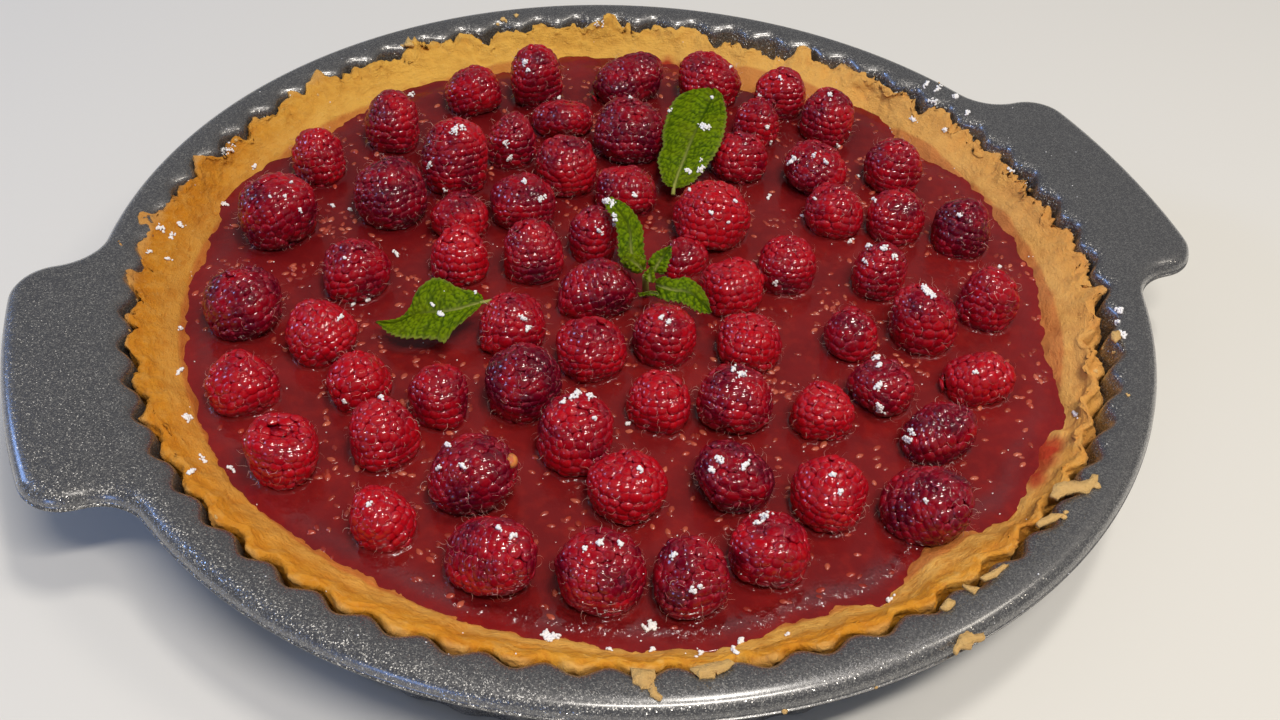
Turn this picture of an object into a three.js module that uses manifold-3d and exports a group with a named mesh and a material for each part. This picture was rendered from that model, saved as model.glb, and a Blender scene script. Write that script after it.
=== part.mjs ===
// A raspberry tart in the fluted tin it was baked in, with two wing handles.
// Millimetres, +Z up. The origin is the middle of the tin's underside, and the handles lie along X.

import * as THREE from 'three';
import { mergeVertices } from 'three/addons/utils/BufferGeometryUtils.js';
import Module from 'manifold-3d';

const wasm = await Module();
wasm.setup();

// ---- driving dimensions -------------------------------------------------------------------

const GAP = 0.3;                 // clearance kept between pieces that touch

const TIN = {
  rimRadius: 150,                // outside of the rolled edge
  height: 35,                    // top of the flange above the underside
  sheet: 1.2,                    // thickness of the floor and the wall
  wallTop: 141,                  // inside of the wall at the flange, in the hollow of a flute
  wallFoot: 133.5,               // inside of the wall at the floor, in the hollow of a flute
  edgeDrop: 2,                   // how far the rolled edge turns down
  edgeRoll: 1.7,                 // how far in from its outside the rolled edge starts
  flangeDip: 0.8,                // how far the flange falls towards the wall
  flangeDepth: 3.2,              // from the flange's top to the corner under it
  flutes: 62,
  fluteDepth: 2.8,
};

const HANDLE = {
  reach: 170,                    // from the middle of the tin to the outside of a handle
  halfWidth: 45,
  cornerRadius: 13,
  filletRadius: 12,              // the hollow curve where a handle leaves the rim
  bow: 4.5,                      // how far the outside edge bows out
  thick: 1.9,
  below: 0.4,                    // its top lies this much under the flange's
  overlap: 5,                    // how far it reaches in over the rim
};

const CRUST = {
  outerTop: 139.1,               // outside of the crust at its top, in the hollow of a flute
  outerFoot: 132.3,
  top: 31.6,                     // mean height of the ragged edge
  lip: 3.6,                      // thickness of the ragged edge
  edgeFall: 1.2,                 // the outside of the edge is this much lower than its top
  floor: 5,                      // thickness under the filling
  innerFoot: 119,
  ragged: 0.9,                   // how far the edge wanders up and down
};

const FILLING = {
  level: 24.7,
  radius: 124.7,                 // where its edge meets the crust
  edge: 5,                       // width of the edge that slopes down to the crust
  columns: 62,
};

const BERRY = {
  sunk: 4,                       // depth of a berry's foot below the filling's surface
  columns: 7,
  rings: 5,
  bump: 0.05,                    // how far every second ring pulls in, as a part of the radius
  pocketSides: 6,                // of the hole its foot stands in
};

// Raised flakes on the crust's edge: where they stand (degrees), their height and half their width.
const FLAKES = [
  [20.5, 3.2, 2.5], [44, 2.2, 2], [74, 4.6, 2.5], [89, 1.6, 4], [103, 3.4, 2],
  [118, 2.4, 2.5], [142, 1.6, 3], [157, 2.2, 3], [191, 1.2, 2], [338, 1.6, 3],
];

// Every berry: x, y, width, length, the way its tip leans and how far from upright (mm, degrees).
const BERRIES = [
  // the row along the back
  [-91, 55, 24, 22, 115, 60], [-74, 82, 17, 19, 90, 20], [-48, 93, 18, 21, 85, 15],
  [4, 105, 18, 24, 75, 5], [35, 98, 18, 25, 5, 70], [61, 90, 22, 19, 50, 35],
  [91, 58, 18, 20, 65, 10],
  // the second row from the back
  [-57, 55, 22, 22, 105, 30], [-34, 66, 21, 26, 75, 15], [-1, 55, 19, 21, 75, 15],
  [24, 67, 23, 22, 70, 25], [-19, 42, 20, 18, 75, 20], [75, 33, 20, 17, 25, 50],
  [100, 27, 18, 19, 45, 20],
  // the middle, from left to right
  [-106, 18, 21, 20, 115, 30], [-74, 24, 19, 19, 85, 20], [-88, 0, 19, 18, 135, 45],
  [-111, -13, 18, 17, 100, 25], [-82, -20, 17, 16, 125, 30], [-44, 22, 17, 19, 75, 10],
  [-23, 17, 18, 20, 75, 10], [-10, -4, 17, 22, 345, 70], [-37, -11, 19, 17, 75, 30],
  [-19, -27, 19, 18, 70, 20], [-41, -36, 20, 21, 75, 10],
  [34, 18, 23, 21, 50, 30], [47, -9, 18, 18, 55, 20], [28, -13, 19, 17, 70, 20],
  [2, -27, 18, 18, 70, 15], [24, -36, 19, 16, 45, 30], [-8, -51, 17, 17, 70, 15],
  [11, -57, 21, 18, 45, 40], [58, -83, 16, 21, 5, 70], [89, 3, 18, 18, 45, 25],
  [106, -8, 18, 19, 45, 20], [72, -20, 16, 19, 65, 15], [97, -40, 17, 20, 40, 20],
  [74, -43, 19, 21, 60, 15], [79, -68, 15, 20, 345, 80], [52, -63, 18, 15, 20, 40],
  // the front, from left to right
  [-80, -42, 18, 20, 85, 15], [-105, -41, 19, 19, 80, 10], [-62, -63, 23, 19, 125, 35],
  [-86, -69, 15, 18, 140, 45], [-64, -90, 19, 25, 305, 60], [-33, -57, 20, 21, 50, 15],
  [-41, -101, 21, 20, 70, 10], [-26, -77, 20, 18, 50, 25], [-21, -109, 18, 20, 45, 15],
  [0, -106, 20, 17, 45, 25], [1, -82, 21, 16, 20, 35], [32, -67, 17, 16, 45, 20],
  [21, -95, 19, 20, 45, 20], [43, -106, 20, 24, 310, 60],
];

// ---- materials ----------------------------------------------------------------------------

const finish = (color, roughness, metalness = 0) =>
  new THREE.MeshStandardMaterial({ color, roughness, metalness });

const TIN_COATING = finish('#4b4b4e', 0.42, 0.55);
const SHORTCRUST = finish('#d3974a', 0.85);
const JAM = finish('#6a0d13', 0.18);
const MINT = finish('#4f8426', 0.6);
const BERRY_TINTS = ['#a3152a', '#8c1430', '#b01c26'].map((tint) => finish(tint, 0.35));

// ---- solids, cuts and joins ---------------------------------------------------------------

function closedSolid(geometry) {
  const bare = geometry.clone();
  bare.deleteAttribute('normal');
  bare.deleteAttribute('uv');
  const merged = mergeVertices(bare, 1e-4);
  const mesh = new wasm.Mesh({
    numProp: 3,
    vertProperties: new Float32Array(merged.attributes.position.array),
    triVerts: new Uint32Array(merged.index.array),
  });
  return new wasm.Manifold(mesh);
}

function geometryOf(solid) {
  const mesh = solid.getMesh();
  const geometry = new THREE.BufferGeometry();
  geometry.setAttribute('position', new THREE.BufferAttribute(new Float32Array(mesh.vertProperties), 3));
  geometry.setIndex(new THREE.BufferAttribute(new Uint32Array(mesh.triVerts), 1));
  geometry.computeVertexNormals();
  return geometry;
}

function join(geometries) {
  return geometryOf(geometries.map(closedSolid).reduce((whole, next) => whole.add(next)));
}

function cut(geometry, cutters) {
  const whole = closedSolid(geometry);
  return geometryOf(cutters.map(closedSolid).reduce((left, cutter) => left.subtract(cutter), whole));
}

// Moves every vertex of a geometry by shift(point), in place.
function reshape(geometry, shift) {
  const position = geometry.attributes.position;
  const point = new THREE.Vector3();
  for (let i = 0; i < position.count; i += 1) {
    point.fromBufferAttribute(position, i);
    shift(point);
    position.setXYZ(i, point.x, point.y, point.z);
  }
  return geometry;
}

// A turned body with the Z axis upright and its first column on +X: profile is a list of [radius, height].
function turned(profile, columns) {
  const lathe = new THREE.LatheGeometry(profile.map(([r, z]) => new THREE.Vector2(r, z)), columns);
  return lathe.rotateX(Math.PI / 2).rotateZ(Math.PI / 2);
}

// ---- flutes -------------------------------------------------------------------------------

const COLUMNS_PER_FLUTE = 3;
const RIM_COLUMNS = TIN.flutes * COLUMNS_PER_FLUTE;

const columnAt = (point) => Math.round((Math.atan2(point.y, point.x) / (2 * Math.PI)) * RIM_COLUMNS);

// One column in three is the ridge between two hollows, and pulls in by the flutes' depth.
function pullIn(point, depth) {
  const onRidge = THREE.MathUtils.euclideanModulo(columnAt(point), COLUMNS_PER_FLUTE) === 0;
  const radius = Math.hypot(point.x, point.y);
  if (onRidge && radius > 0) {
    point.x *= (radius - depth) / radius;
    point.y *= (radius - depth) / radius;
  }
}

// ---- tin ----------------------------------------------------------------------------------

function pan() {
  const outerTop = TIN.wallTop + TIN.sheet + 0.2;
  const outerFoot = TIN.wallFoot + 0.7;
  const profile = [
    [0, 0],
    [outerFoot, 0],
    [outerTop, TIN.height - TIN.flangeDepth],
    [TIN.rimRadius, TIN.height - TIN.edgeDrop],
    [TIN.rimRadius - TIN.edgeRoll, TIN.height],
    [TIN.wallTop, TIN.height - TIN.flangeDip],
    [TIN.wallFoot, TIN.sheet],
    [0, TIN.sheet],
  ];
  const rimStart = TIN.wallTop + TIN.sheet + 1;
  return reshape(turned(profile, RIM_COLUMNS), (point) => {
    if (Math.hypot(point.x, point.y) < rimStart) pullIn(point, TIN.fluteDepth);
  });
}

// A wing along +X: a hollow fillet off the rim, a rounded corner and a bowed outside edge.
function wing() {
  const root = TIN.rimRadius - HANDLE.overlap;
  const side = TIN.rimRadius - 4;
  const rootAngle = Math.asin((HANDLE.halfWidth + HANDLE.filletRadius * 0.7) / root);
  const rootX = root * Math.cos(rootAngle);
  const rootY = root * Math.sin(rootAngle);
  const edge = HANDLE.reach - HANDLE.bow;
  const shape = new THREE.Shape();
  shape.moveTo(rootX, -rootY);
  shape.quadraticCurveTo(rootX + 5, -HANDLE.halfWidth - 1, side, -HANDLE.halfWidth);
  shape.quadraticCurveTo(edge - 2, -HANDLE.halfWidth, edge, -HANDLE.halfWidth + HANDLE.cornerRadius);
  shape.quadraticCurveTo(HANDLE.reach + HANDLE.bow, 0, edge, HANDLE.halfWidth - HANDLE.cornerRadius);
  shape.quadraticCurveTo(edge - 2, HANDLE.halfWidth, side, HANDLE.halfWidth);
  shape.quadraticCurveTo(rootX + 5, HANDLE.halfWidth + 1, rootX, rootY);
  shape.lineTo(root, 0);
  const settings = { depth: HANDLE.thick, bevelEnabled: false, curveSegments: 4 };
  const slab = new THREE.ExtrudeGeometry(shape, settings);
  return slab.translate(0, 0, TIN.height - HANDLE.below - HANDLE.thick);
}

const tinGeometry = () => join([pan(), wing(), wing().rotateZ(Math.PI)]);

// ---- crust --------------------------------------------------------------------------------

// Height of the ragged edge above its mean, at an angle in degrees.
function edgeRise(degrees) {
  const turn = THREE.MathUtils.degToRad(degrees);
  const wander = Math.sin(11 * turn + 1) + 0.7 * Math.sin(23 * turn + 2) + 0.6 * Math.sin(41 * turn);
  const flakes = FLAKES.map(([at, rise, halfWidth]) => {
    const away = Math.abs(THREE.MathUtils.euclideanModulo(degrees - at + 180, 360) - 180);
    return rise * Math.max(0, 1 - away / halfWidth);
  });
  return CRUST.ragged * wander / 2 + Math.max(...flakes);
}

function crustGeometry() {
  const foot = TIN.sheet + GAP + 0.1;
  const profile = [
    [0, foot],
    [CRUST.outerFoot, foot],
    [CRUST.outerTop, CRUST.top - CRUST.edgeFall],
    [CRUST.outerTop - CRUST.lip, CRUST.top],
    [FILLING.radius, FILLING.level],
    [CRUST.innerFoot, foot + CRUST.floor],
    [0, foot + CRUST.floor],
  ];
  const edgeStart = (CRUST.top + FILLING.level) / 2;
  return reshape(turned(profile, RIM_COLUMNS), (point) => {
    const radius = Math.hypot(point.x, point.y);
    const degrees = THREE.MathUtils.radToDeg(Math.atan2(point.y, point.x));
    if (point.z > edgeStart) point.z += edgeRise(degrees);
    const depth = point.z > edgeStart ? TIN.fluteDepth * 0.7 : TIN.fluteDepth;
    if (radius > CRUST.outerFoot - 0.5) pullIn(point, depth);
  });
}

// ---- berries ------------------------------------------------------------------------------

// Radius of a thimble-shaped berry at a height from -1 (the foot) to 1 (the tip).
function thimble(height) {
  const away = Math.min(1, Math.abs(height));
  return height < 0 ? (1 - away ** 2.6) ** (1 / 2.2) : (1 - away ** 2.1) ** (1 / 1.9);
}

function berryGeometry(width, length) {
  const ball = new THREE.SphereGeometry(1, BERRY.columns, BERRY.rings).rotateX(Math.PI / 2);
  return reshape(ball, (point) => {
    const ring = Math.round((Math.acos(THREE.MathUtils.clamp(point.z, -1, 1)) / Math.PI) * BERRY.rings);
    const radius = Math.hypot(point.x, point.y);
    if (radius < 1e-6) {
      point.z *= length / 2;
      return;
    }
    const angle = Math.atan2(point.y, point.x) - (ring * Math.PI) / BERRY.columns;
    const full = (thimble(point.z) * width) / 2;
    const bumpy = full * (1 - BERRY.bump * (ring % 2));
    point.set(bumpy * Math.cos(angle), bumpy * Math.sin(angle), (point.z * length) / 2);
  });
}

// A berry's mesh, leant over and lowered until its foot is sunk in the filling.
function berryMesh([x, y, width, length, leanTo, lean], name, material) {
  const mesh = new THREE.Mesh(berryGeometry(width, length), material);
  mesh.name = name;
  mesh.rotation.order = 'ZYX';
  mesh.rotation.set(0, THREE.MathUtils.degToRad(lean), THREE.MathUtils.degToRad(leanTo));
  mesh.updateMatrix();
  const lowest = new THREE.Box3().setFromBufferAttribute(worldCopy(mesh).attributes.position).min.z;
  mesh.position.set(x, y, FILLING.level - BERRY.sunk - lowest);
  mesh.updateMatrix();
  return mesh;
}

const worldCopy = (mesh) => mesh.geometry.clone().applyMatrix4(mesh.matrix);

// The hole that a berry's foot stands in: a straight prism round everything below the surface.
function pocket(mesh) {
  const rim = FILLING.level + 1;
  const below = [];
  const geometry = worldCopy(mesh);
  const position = geometry.attributes.position;
  const corner = (i) => new THREE.Vector3().fromBufferAttribute(position, geometry.index.getX(i));
  for (let i = 0; i < geometry.index.count; i += 3) {
    for (let k = 0; k < 3; k += 1) {
      const from = corner(i + k);
      const to = corner(i + ((k + 1) % 3));
      if (from.z < rim) below.push(from);
      if ((from.z - rim) * (to.z - rim) < 0) below.push(from.lerp(to, (rim - from.z) / (to.z - from.z)));
    }
  }
  const box = new THREE.Box3().setFromPoints(below);
  const middle = box.getCenter(new THREE.Vector3());
  const reach = Math.max(...below.map((point) => Math.hypot(point.x - middle.x, point.y - middle.y)));
  const radius = (reach + GAP) / Math.cos(Math.PI / BERRY.pocketSides);
  const depth = BERRY.sunk + GAP + 2;
  const prism = new THREE.CylinderGeometry(radius, radius, depth, BERRY.pocketSides).rotateX(Math.PI / 2);
  return prism.translate(middle.x, middle.y, FILLING.level - BERRY.sunk - GAP + depth / 2);
}

// ---- filling ------------------------------------------------------------------------------

function fillingGeometry(pockets) {
  const foot = TIN.sheet + GAP + 0.1 + CRUST.floor + GAP;
  const profile = [
    [0, foot],
    [CRUST.innerFoot - 2 * GAP, foot],
    [FILLING.radius - 2 * GAP, FILLING.level - 0.3],
    [FILLING.radius - FILLING.edge, FILLING.level],
    [0, FILLING.level],
  ];
  return cut(turned(profile, FILLING.columns), pockets);
}

// ---- mint ---------------------------------------------------------------------------------

// A blade from (0,0,0) along +X, widest before the middle, folded along its midrib and drooping.
function blade({ length, width, fold, droop, segments = 6, thick = 0.8 }) {
  const box = new THREE.BoxGeometry(length, width, thick, segments, 2, 1).translate(length / 2, 0, 0);
  return reshape(box, (point) => {
    const along = THREE.MathUtils.clamp(point.x / length, 0, 1);
    const spread = 0.14 + 0.86 * Math.abs(Math.sin(Math.PI * along ** 0.8)) ** 0.8;
    point.y *= spread;
    point.z += Math.abs(point.y) * fold - droop * along ** 2;
  });
}

// Lays a blade from one point to another, rolled about its own length.
function lay(geometry, from, to, roll = 0) {
  const start = new THREE.Vector3(...from);
  const run = new THREE.Vector3(...to).sub(start);
  const rise = Math.atan2(run.z, Math.hypot(run.x, run.y));
  const heading = Math.atan2(run.y, run.x);
  const turn = new THREE.Euler(THREE.MathUtils.degToRad(roll), -rise, heading, 'ZYX');
  geometry.applyMatrix4(new THREE.Matrix4().makeRotationFromEuler(turn));
  return geometry.translate(start.x, start.y, start.z);
}

const mintBack = () => lay(
  blade({ length: 43, width: 20, fold: 0.12, droop: 1 }), [29, 39.5, 29.2], [55.5, 71.5, 43.5], -8,
);

const mintLeft = () => lay(
  blade({ length: 30, width: 20, fold: 0.35, droop: 2, segments: 5 }), [-43, -1, 33], [-71, 3, 29.5], -14,
);

const SPRIG_HEART = [7.3, -2.3, 31];

function mintSprig() {
  const leaves = [
    // tip, width, roll: the long upright leaf, the right leaf, then the three small ones
    [[1, 19.5, 43.5], 8, 25],
    [[16, -26, 34.5], 10, -10],
    [[13.2, 0.3, 38.5], 5, 0],
    [[-0.5, -12, 34.5], 4, 0],
    [[0.5, -2, 38], 4, 0],
  ];
  const heart = new THREE.Vector3(...SPRIG_HEART);
  const blades = leaves.map(([tip, width, roll]) => {
    const length = heart.distanceTo(new THREE.Vector3(...tip));
    return lay(blade({ length, width, fold: 0.3, droop: 0, segments: 3 }), SPRIG_HEART, tip, roll);
  });
  const stemFoot = FILLING.level + GAP;
  const stemLength = SPRIG_HEART[2] + 0.5 - stemFoot;
  const stem = new THREE.CylinderGeometry(0.9, 1.1, stemLength, 6).rotateX(Math.PI / 2)
    .translate(SPRIG_HEART[0], SPRIG_HEART[1], stemFoot + stemLength / 2);
  return join([stem, ...blades]);
}

// ---- the tart -----------------------------------------------------------------------------

function piece(name, geometry, material) {
  const mesh = new THREE.Mesh(geometry, material);
  mesh.name = name;
  return mesh;
}

const berries = BERRIES.map((berry, i) => {
  const name = `berry_${String(i + 1).padStart(2, '0')}`;
  return berryMesh(berry, name, BERRY_TINTS[i % BERRY_TINTS.length]);
});

const tart = new THREE.Group();
tart.add(piece('tin', tinGeometry(), TIN_COATING));
tart.add(piece('crust', crustGeometry(), SHORTCRUST));
tart.add(piece('filling', fillingGeometry(berries.map(pocket)), JAM));
tart.add(...berries);
tart.add(piece('mint_back', mintBack(), MINT));
tart.add(piece('mint_left', mintLeft(), MINT));
tart.add(piece('mint_sprig', mintSprig(), MINT));

export default tart;
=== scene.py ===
import math
import random

import bmesh
import bpy
import numpy as np
from mathutils import Matrix, Vector, noise
from mathutils.kdtree import KDTree


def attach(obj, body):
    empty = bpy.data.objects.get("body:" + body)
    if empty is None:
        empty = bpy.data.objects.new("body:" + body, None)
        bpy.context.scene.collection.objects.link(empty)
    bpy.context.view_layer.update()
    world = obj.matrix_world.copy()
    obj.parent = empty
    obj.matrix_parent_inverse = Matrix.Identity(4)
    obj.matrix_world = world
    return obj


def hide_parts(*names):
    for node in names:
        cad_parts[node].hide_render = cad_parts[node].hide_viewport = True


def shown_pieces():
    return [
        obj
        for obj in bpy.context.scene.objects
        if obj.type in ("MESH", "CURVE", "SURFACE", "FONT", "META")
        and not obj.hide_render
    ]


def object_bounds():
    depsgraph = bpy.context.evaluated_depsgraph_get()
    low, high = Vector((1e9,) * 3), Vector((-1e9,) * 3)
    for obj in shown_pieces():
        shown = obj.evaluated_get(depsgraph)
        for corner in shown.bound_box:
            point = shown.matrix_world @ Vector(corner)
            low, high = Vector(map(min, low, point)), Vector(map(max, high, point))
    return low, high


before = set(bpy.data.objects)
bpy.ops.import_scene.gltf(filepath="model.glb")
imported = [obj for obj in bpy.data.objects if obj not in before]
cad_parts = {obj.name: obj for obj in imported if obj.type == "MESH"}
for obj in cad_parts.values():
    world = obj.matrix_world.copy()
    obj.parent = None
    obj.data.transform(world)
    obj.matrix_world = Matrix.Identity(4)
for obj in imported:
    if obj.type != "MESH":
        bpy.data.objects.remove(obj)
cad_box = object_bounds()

# %% [markdown]
# # A raspberry tart in its fluted tin
# The real thing is a dark non-stick tin with two wing handles, a shortcrust shell baked in it, a layer of
# set jam, and whole raspberries pushed into the jam, with mint and icing sugar on top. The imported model
# gives the place and size of what it holds. This lesson makes what is seen: each piece is drawn in
# millimetres and turned into metres when it is finished, so that its numbers can be read like a maker's.

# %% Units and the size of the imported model
MM = 0.001
noise.seed_set(1)                          # otherwise vector noise starts from the clock and no two runs agree
low, high = cad_box
print("packed model, mm:", [round((b - a) / MM, 1) for a, b in zip(low, high)])

# %% [markdown]
# ## The camera
# The eye looks down on the tart from the front left, a little over 40 degrees above the table. The camera
# could be aimed with a Track To constraint, but a plain rotation is easier to repeat: turn about Z, tip up
# about X, then roll about its own line of sight.

# %% Camera
LOOKED_AT = Vector((-9.8, -40.0, 35.0))    # mm
DISTANCE = 380.8                           # mm
AZIMUTH, ELEVATION, ROLL = -21.5, 43.04, 3.27   # degrees
PICTURE_WIDTH, PICTURE_HEIGHT, FOCAL_PIXELS = 1280, 720, 1430

turn = Matrix.Rotation(math.radians(AZIMUTH), 3, "Z")
tip = Matrix.Rotation(math.radians(90 - ELEVATION), 3, "X")
roll = Matrix.Rotation(math.radians(ROLL), 3, "Z")
aim = turn @ tip @ roll
camera = bpy.data.objects.new("camera", bpy.data.cameras.new("camera"))
bpy.context.scene.collection.objects.link(camera)
camera.data.sensor_width = 36.0
camera.data.lens = camera.data.sensor_width * FOCAL_PIXELS / PICTURE_WIDTH
camera.data.clip_start = 0.01
eye = (LOOKED_AT + aim @ Vector((0, 0, DISTANCE))) * MM
camera.matrix_world = Matrix.Translation(eye) @ aim.to_4x4()
bpy.context.scene.camera = camera
print("camera at", [round(c, 4) for c in eye], "lens", round(camera.data.lens, 2))

# %% [markdown]
# ## Shader maths as Python
# A material's pattern is arithmetic on sockets. Math nodes can be wired one by one in the editor, which soon
# gets hard to read. Here a `Wire` stands for one socket, and +, - and * on it add the Math nodes. A `Finish`
# is a material being made: its `node` method adds any other node, and the short methods after it are the
# nodes that this tart needs again and again.

# %% Wires and finishes
class Wire:
    """One socket of a material, on which arithmetic adds Math nodes."""

    def __init__(self, finish, socket):
        self.finish = finish
        self.socket = socket

    def _math(self, operation, first, second):
        return self.finish.node("Math", {"operation": operation}, {0: first, 1: second})

    def __add__(self, other):
        return self._math("ADD", self, other)

    def __sub__(self, other):
        return self._math("SUBTRACT", self, other)

    def __rsub__(self, other):
        return self._math("SUBTRACT", other, self)

    def __mul__(self, other):
        return self._math("MULTIPLY", self, other)

    __radd__ = __add__
    __rmul__ = __mul__


class Finish:
    """A material under construction."""

    def __init__(self, name):
        self.material = bpy.data.materials.new(name)
        self.material.use_nodes = True
        self.tree = self.material.node_tree
        self.tree.nodes.clear()

    def node(self, kind, settings=None, inputs=None, output=0):
        """Any node: its settings first, then a link or a value for each input that is named."""
        made = self.tree.nodes.new("ShaderNode" + kind)
        for name, value in (settings or {}).items():
            setattr(made, name, value)
        for name, value in (inputs or {}).items():
            if isinstance(value, Wire):
                self.tree.links.new(value.socket, made.inputs[name])
            else:
                made.inputs[name].default_value = value
        return Wire(self, made.outputs[output]) if made.outputs else None

    def place(self):
        """Object coordinates, in metres."""
        return self.node("TexCoord", output=3)

    def noise(self, place, size, detail=3.0, roughness=0.55):
        """Cloudy noise, with lumps of about this size in mm."""
        inputs = {"Vector": place, "Scale": 1 / (size * MM), "Detail": detail, "Roughness": roughness}
        return self.node("TexNoise", None, inputs)

    def cells(self, place, size):
        """Cells of about this size in mm, each with a random colour of its own."""
        return self.node("TexVoronoi", None, {"Vector": place, "Scale": 1 / (size * MM)}, output=1)

    def step(self, wire, start, end):
        """0 below start, 1 above end, smooth between."""
        inputs = {"Value": wire, "From Min": start, "From Max": end}
        return self.node("MapRange", {"interpolation_type": "SMOOTHSTEP"}, inputs)

    def mix(self, share, first, second):
        """Two colours mixed."""
        return self.node("Mix", {"data_type": "RGBA"}, {0: share, 6: first, 7: second}, output=2)

    def part(self, colour, index):
        """Red, green or blue of a colour, as a number."""
        return self.node("SeparateColor", None, {0: colour}, index)

    def axis(self, place, index):
        """X, Y or Z of a place, as a number."""
        return self.node("SeparateXYZ", None, {0: place}, index)

    def vector(self, operation, *inputs, output=0):
        """Vector maths; output 1 is for an operation that gives a number."""
        return self.node("VectorMath", {"operation": operation}, dict(enumerate(inputs)), output)

    def stored(self, name):
        """The four numbers that each point of the mesh carries under this name."""
        colour = self.node("Attribute", {"attribute_name": name})
        fourth = Wire(self, colour.socket.node.outputs["Alpha"])
        return [self.part(colour, index) for index in range(3)] + [fourth]

    def bump(self, height, depth, strength=1.0):
        """A normal raised by this height pattern, depth in mm."""
        return self.node("Bump", None, {"Strength": strength, "Distance": depth * MM, "Height": height})

    def surface(self, inputs):
        """Ends the material with a Principled shader that has these inputs."""
        shader = self.node("BsdfPrincipled", None, inputs)
        self.node("OutputMaterial", None, {"Surface": shader})
        return self.material


def rgb(red, green, blue):
    return (red, green, blue, 1.0)


# %% [markdown]
# ## Finishing a piece
# Every piece ends the same way: its mesh is scaled to metres, shaded smooth, given its finish, and tied to
# the tart's one body. It could be done by hand in the editor, once for each of 66 pieces. One helper keeps
# the steps in one place, and another counts the triangles, which are printed.

# %% Turning a mesh into a piece
def make_piece(name, bm, material, replaces=()):
    """A mesh drawn in mm ends as a piece of the tart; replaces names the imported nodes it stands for."""
    bmesh.ops.scale(bm, vec=(MM, MM, MM), verts=bm.verts)
    mesh = bpy.data.meshes.new(name)
    bm.to_mesh(mesh)
    bm.free()
    mesh.shade_smooth()
    mesh.materials.append(material)
    piece = bpy.data.objects.new(name, mesh)
    bpy.context.scene.collection.objects.link(piece)
    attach(piece, "root")
    if replaces:
        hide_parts(*replaces)
    return piece


def triangles(piece):
    """How many triangles a piece has."""
    return sum(len(face.vertices) - 2 for face in piece.data.polygons)


def smooth_share(value, start, end):
    """0 at start, 1 at end, smooth between; start may be the larger."""
    share = min(1.0, max(0.0, (value - start) / (end - start)))
    return share * share * (3 - 2 * share)


def around(degrees, stops):
    """A value that changes round the tart: straight lines between (degrees, value) stops, in a ring."""
    degrees %= 360
    ring = [*stops, (stops[0][0] + 360, stops[0][1])]
    if degrees < ring[0][0]:
        degrees += 360
    for (a, at_a), (b, at_b) in zip(ring, ring[1:]):
        if a <= degrees <= b:
            return at_a + (at_b - at_a) * (degrees - a) / (b - a)
    return ring[0][1]


# %% [markdown]
# ## Many copies in one mesh
# Drupelets, seeds, hairs and grains of sugar are each one small shape made once and repeated hundreds of
# times. Linked duplicates or particles could repeat it, but here the copies have to be real mesh in one
# piece. Moving a copy at a time is slow, so all of them are moved at once, as arrays: each copy has a matrix
# and three marks for its finish. With the marks goes the height of each point on the small shape.

# %% Copies joined as arrays
def small_shape(bm):
    """The shape to copy, as a mesh."""
    mesh = bpy.data.meshes.new("small_shape")
    bm.to_mesh(mesh)
    bm.free()
    return mesh


def joined(shape, stands, marks=None, layer=None):
    """A mesh of copies of a shape: one matrix and, if wanted, three marks (0 to 1) for each copy."""
    count = len(shape.vertices)
    corners = np.ones((count, 4))
    corners[:, :3] = [vert.co for vert in shape.vertices]
    moved = np.einsum("kij,nj->kni", np.array(stands), corners)[:, :, :3]
    faces = [tuple(face.vertices) for face in shape.polygons]
    all_faces = [[corner + copy * count for corner in face] for copy in range(len(stands)) for face in faces]
    mesh = bpy.data.meshes.new("joined")
    mesh.from_pydata(moved.reshape(-1, 3).tolist(), [], all_faces)
    if layer:
        stored = np.empty((len(stands), count, 4))
        stored[:, :, 0] = np.clip(corners[:, 2], 0, 1)
        stored[:, :, 1:] = np.array(marks)[:, None, :]
        mesh.attributes.new(layer, "FLOAT_COLOR", "POINT").data.foreach_set("color", stored.ravel())
    bm = bmesh.new()
    bm.from_mesh(mesh)
    bpy.data.meshes.remove(mesh)
    return bm


def stand_on(spot, normal, spin, sizes):
    """A matrix that puts a copy at a spot, its Z along the normal, spun about it and scaled."""
    upright = normal.to_track_quat("Z", "Y").to_matrix().to_4x4()
    spun = Matrix.Rotation(spin, 4, "Z")
    return Matrix.Translation(spot) @ upright @ spun @ Matrix.Diagonal((*sizes, 1))


# %% [markdown]
# ## Turned shapes
# The tin and the crust are turned shapes with flutes. The Screw modifier could turn an outline, but a spin
# in bmesh leaves a plain mesh whose points can then be moved. `soft_outline` rounds the corners of an
# outline and cuts its long sides, and `turned` spins one sector of it and joins the sector's copies, because
# a spin of a whole fine ring is slow.

# %% Outlines and spins
def soft_outline(corners, longest, finer_from=100.0, curve_steps=5):
    """Corners are (radius, height, rounding); straight runs outside finer_from are cut to longest."""
    points = [Vector(corners[0][:2])]
    for before, corner, after in zip(corners, corners[1:], corners[2:]):
        middle = Vector(corner[:2])
        back = (Vector(before[:2]) - middle).normalized()
        onward = (Vector(after[:2]) - middle).normalized()
        reach = corner[2] / math.tan(max(0.05, back.angle(onward)) / 2) if corner[2] else 0.0
        start, end = middle + back * reach, middle + onward * reach
        steps = curve_steps if reach else 0
        for i in range(steps + 1):
            t = i / max(1, steps)
            points.append(start * (1 - t) ** 2 + middle * 2 * t * (1 - t) + end * t ** 2)
    points.append(Vector(corners[-1][:2]))
    cut = [points[0]]
    for a, b in zip(points, points[1:]):
        pieces = math.ceil((b - a).length / longest) if min(a.x, b.x) > finer_from else 1
        cut += [a.lerp(b, i / pieces) for i in range(1, max(1, pieces) + 1)]
    return cut


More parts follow.
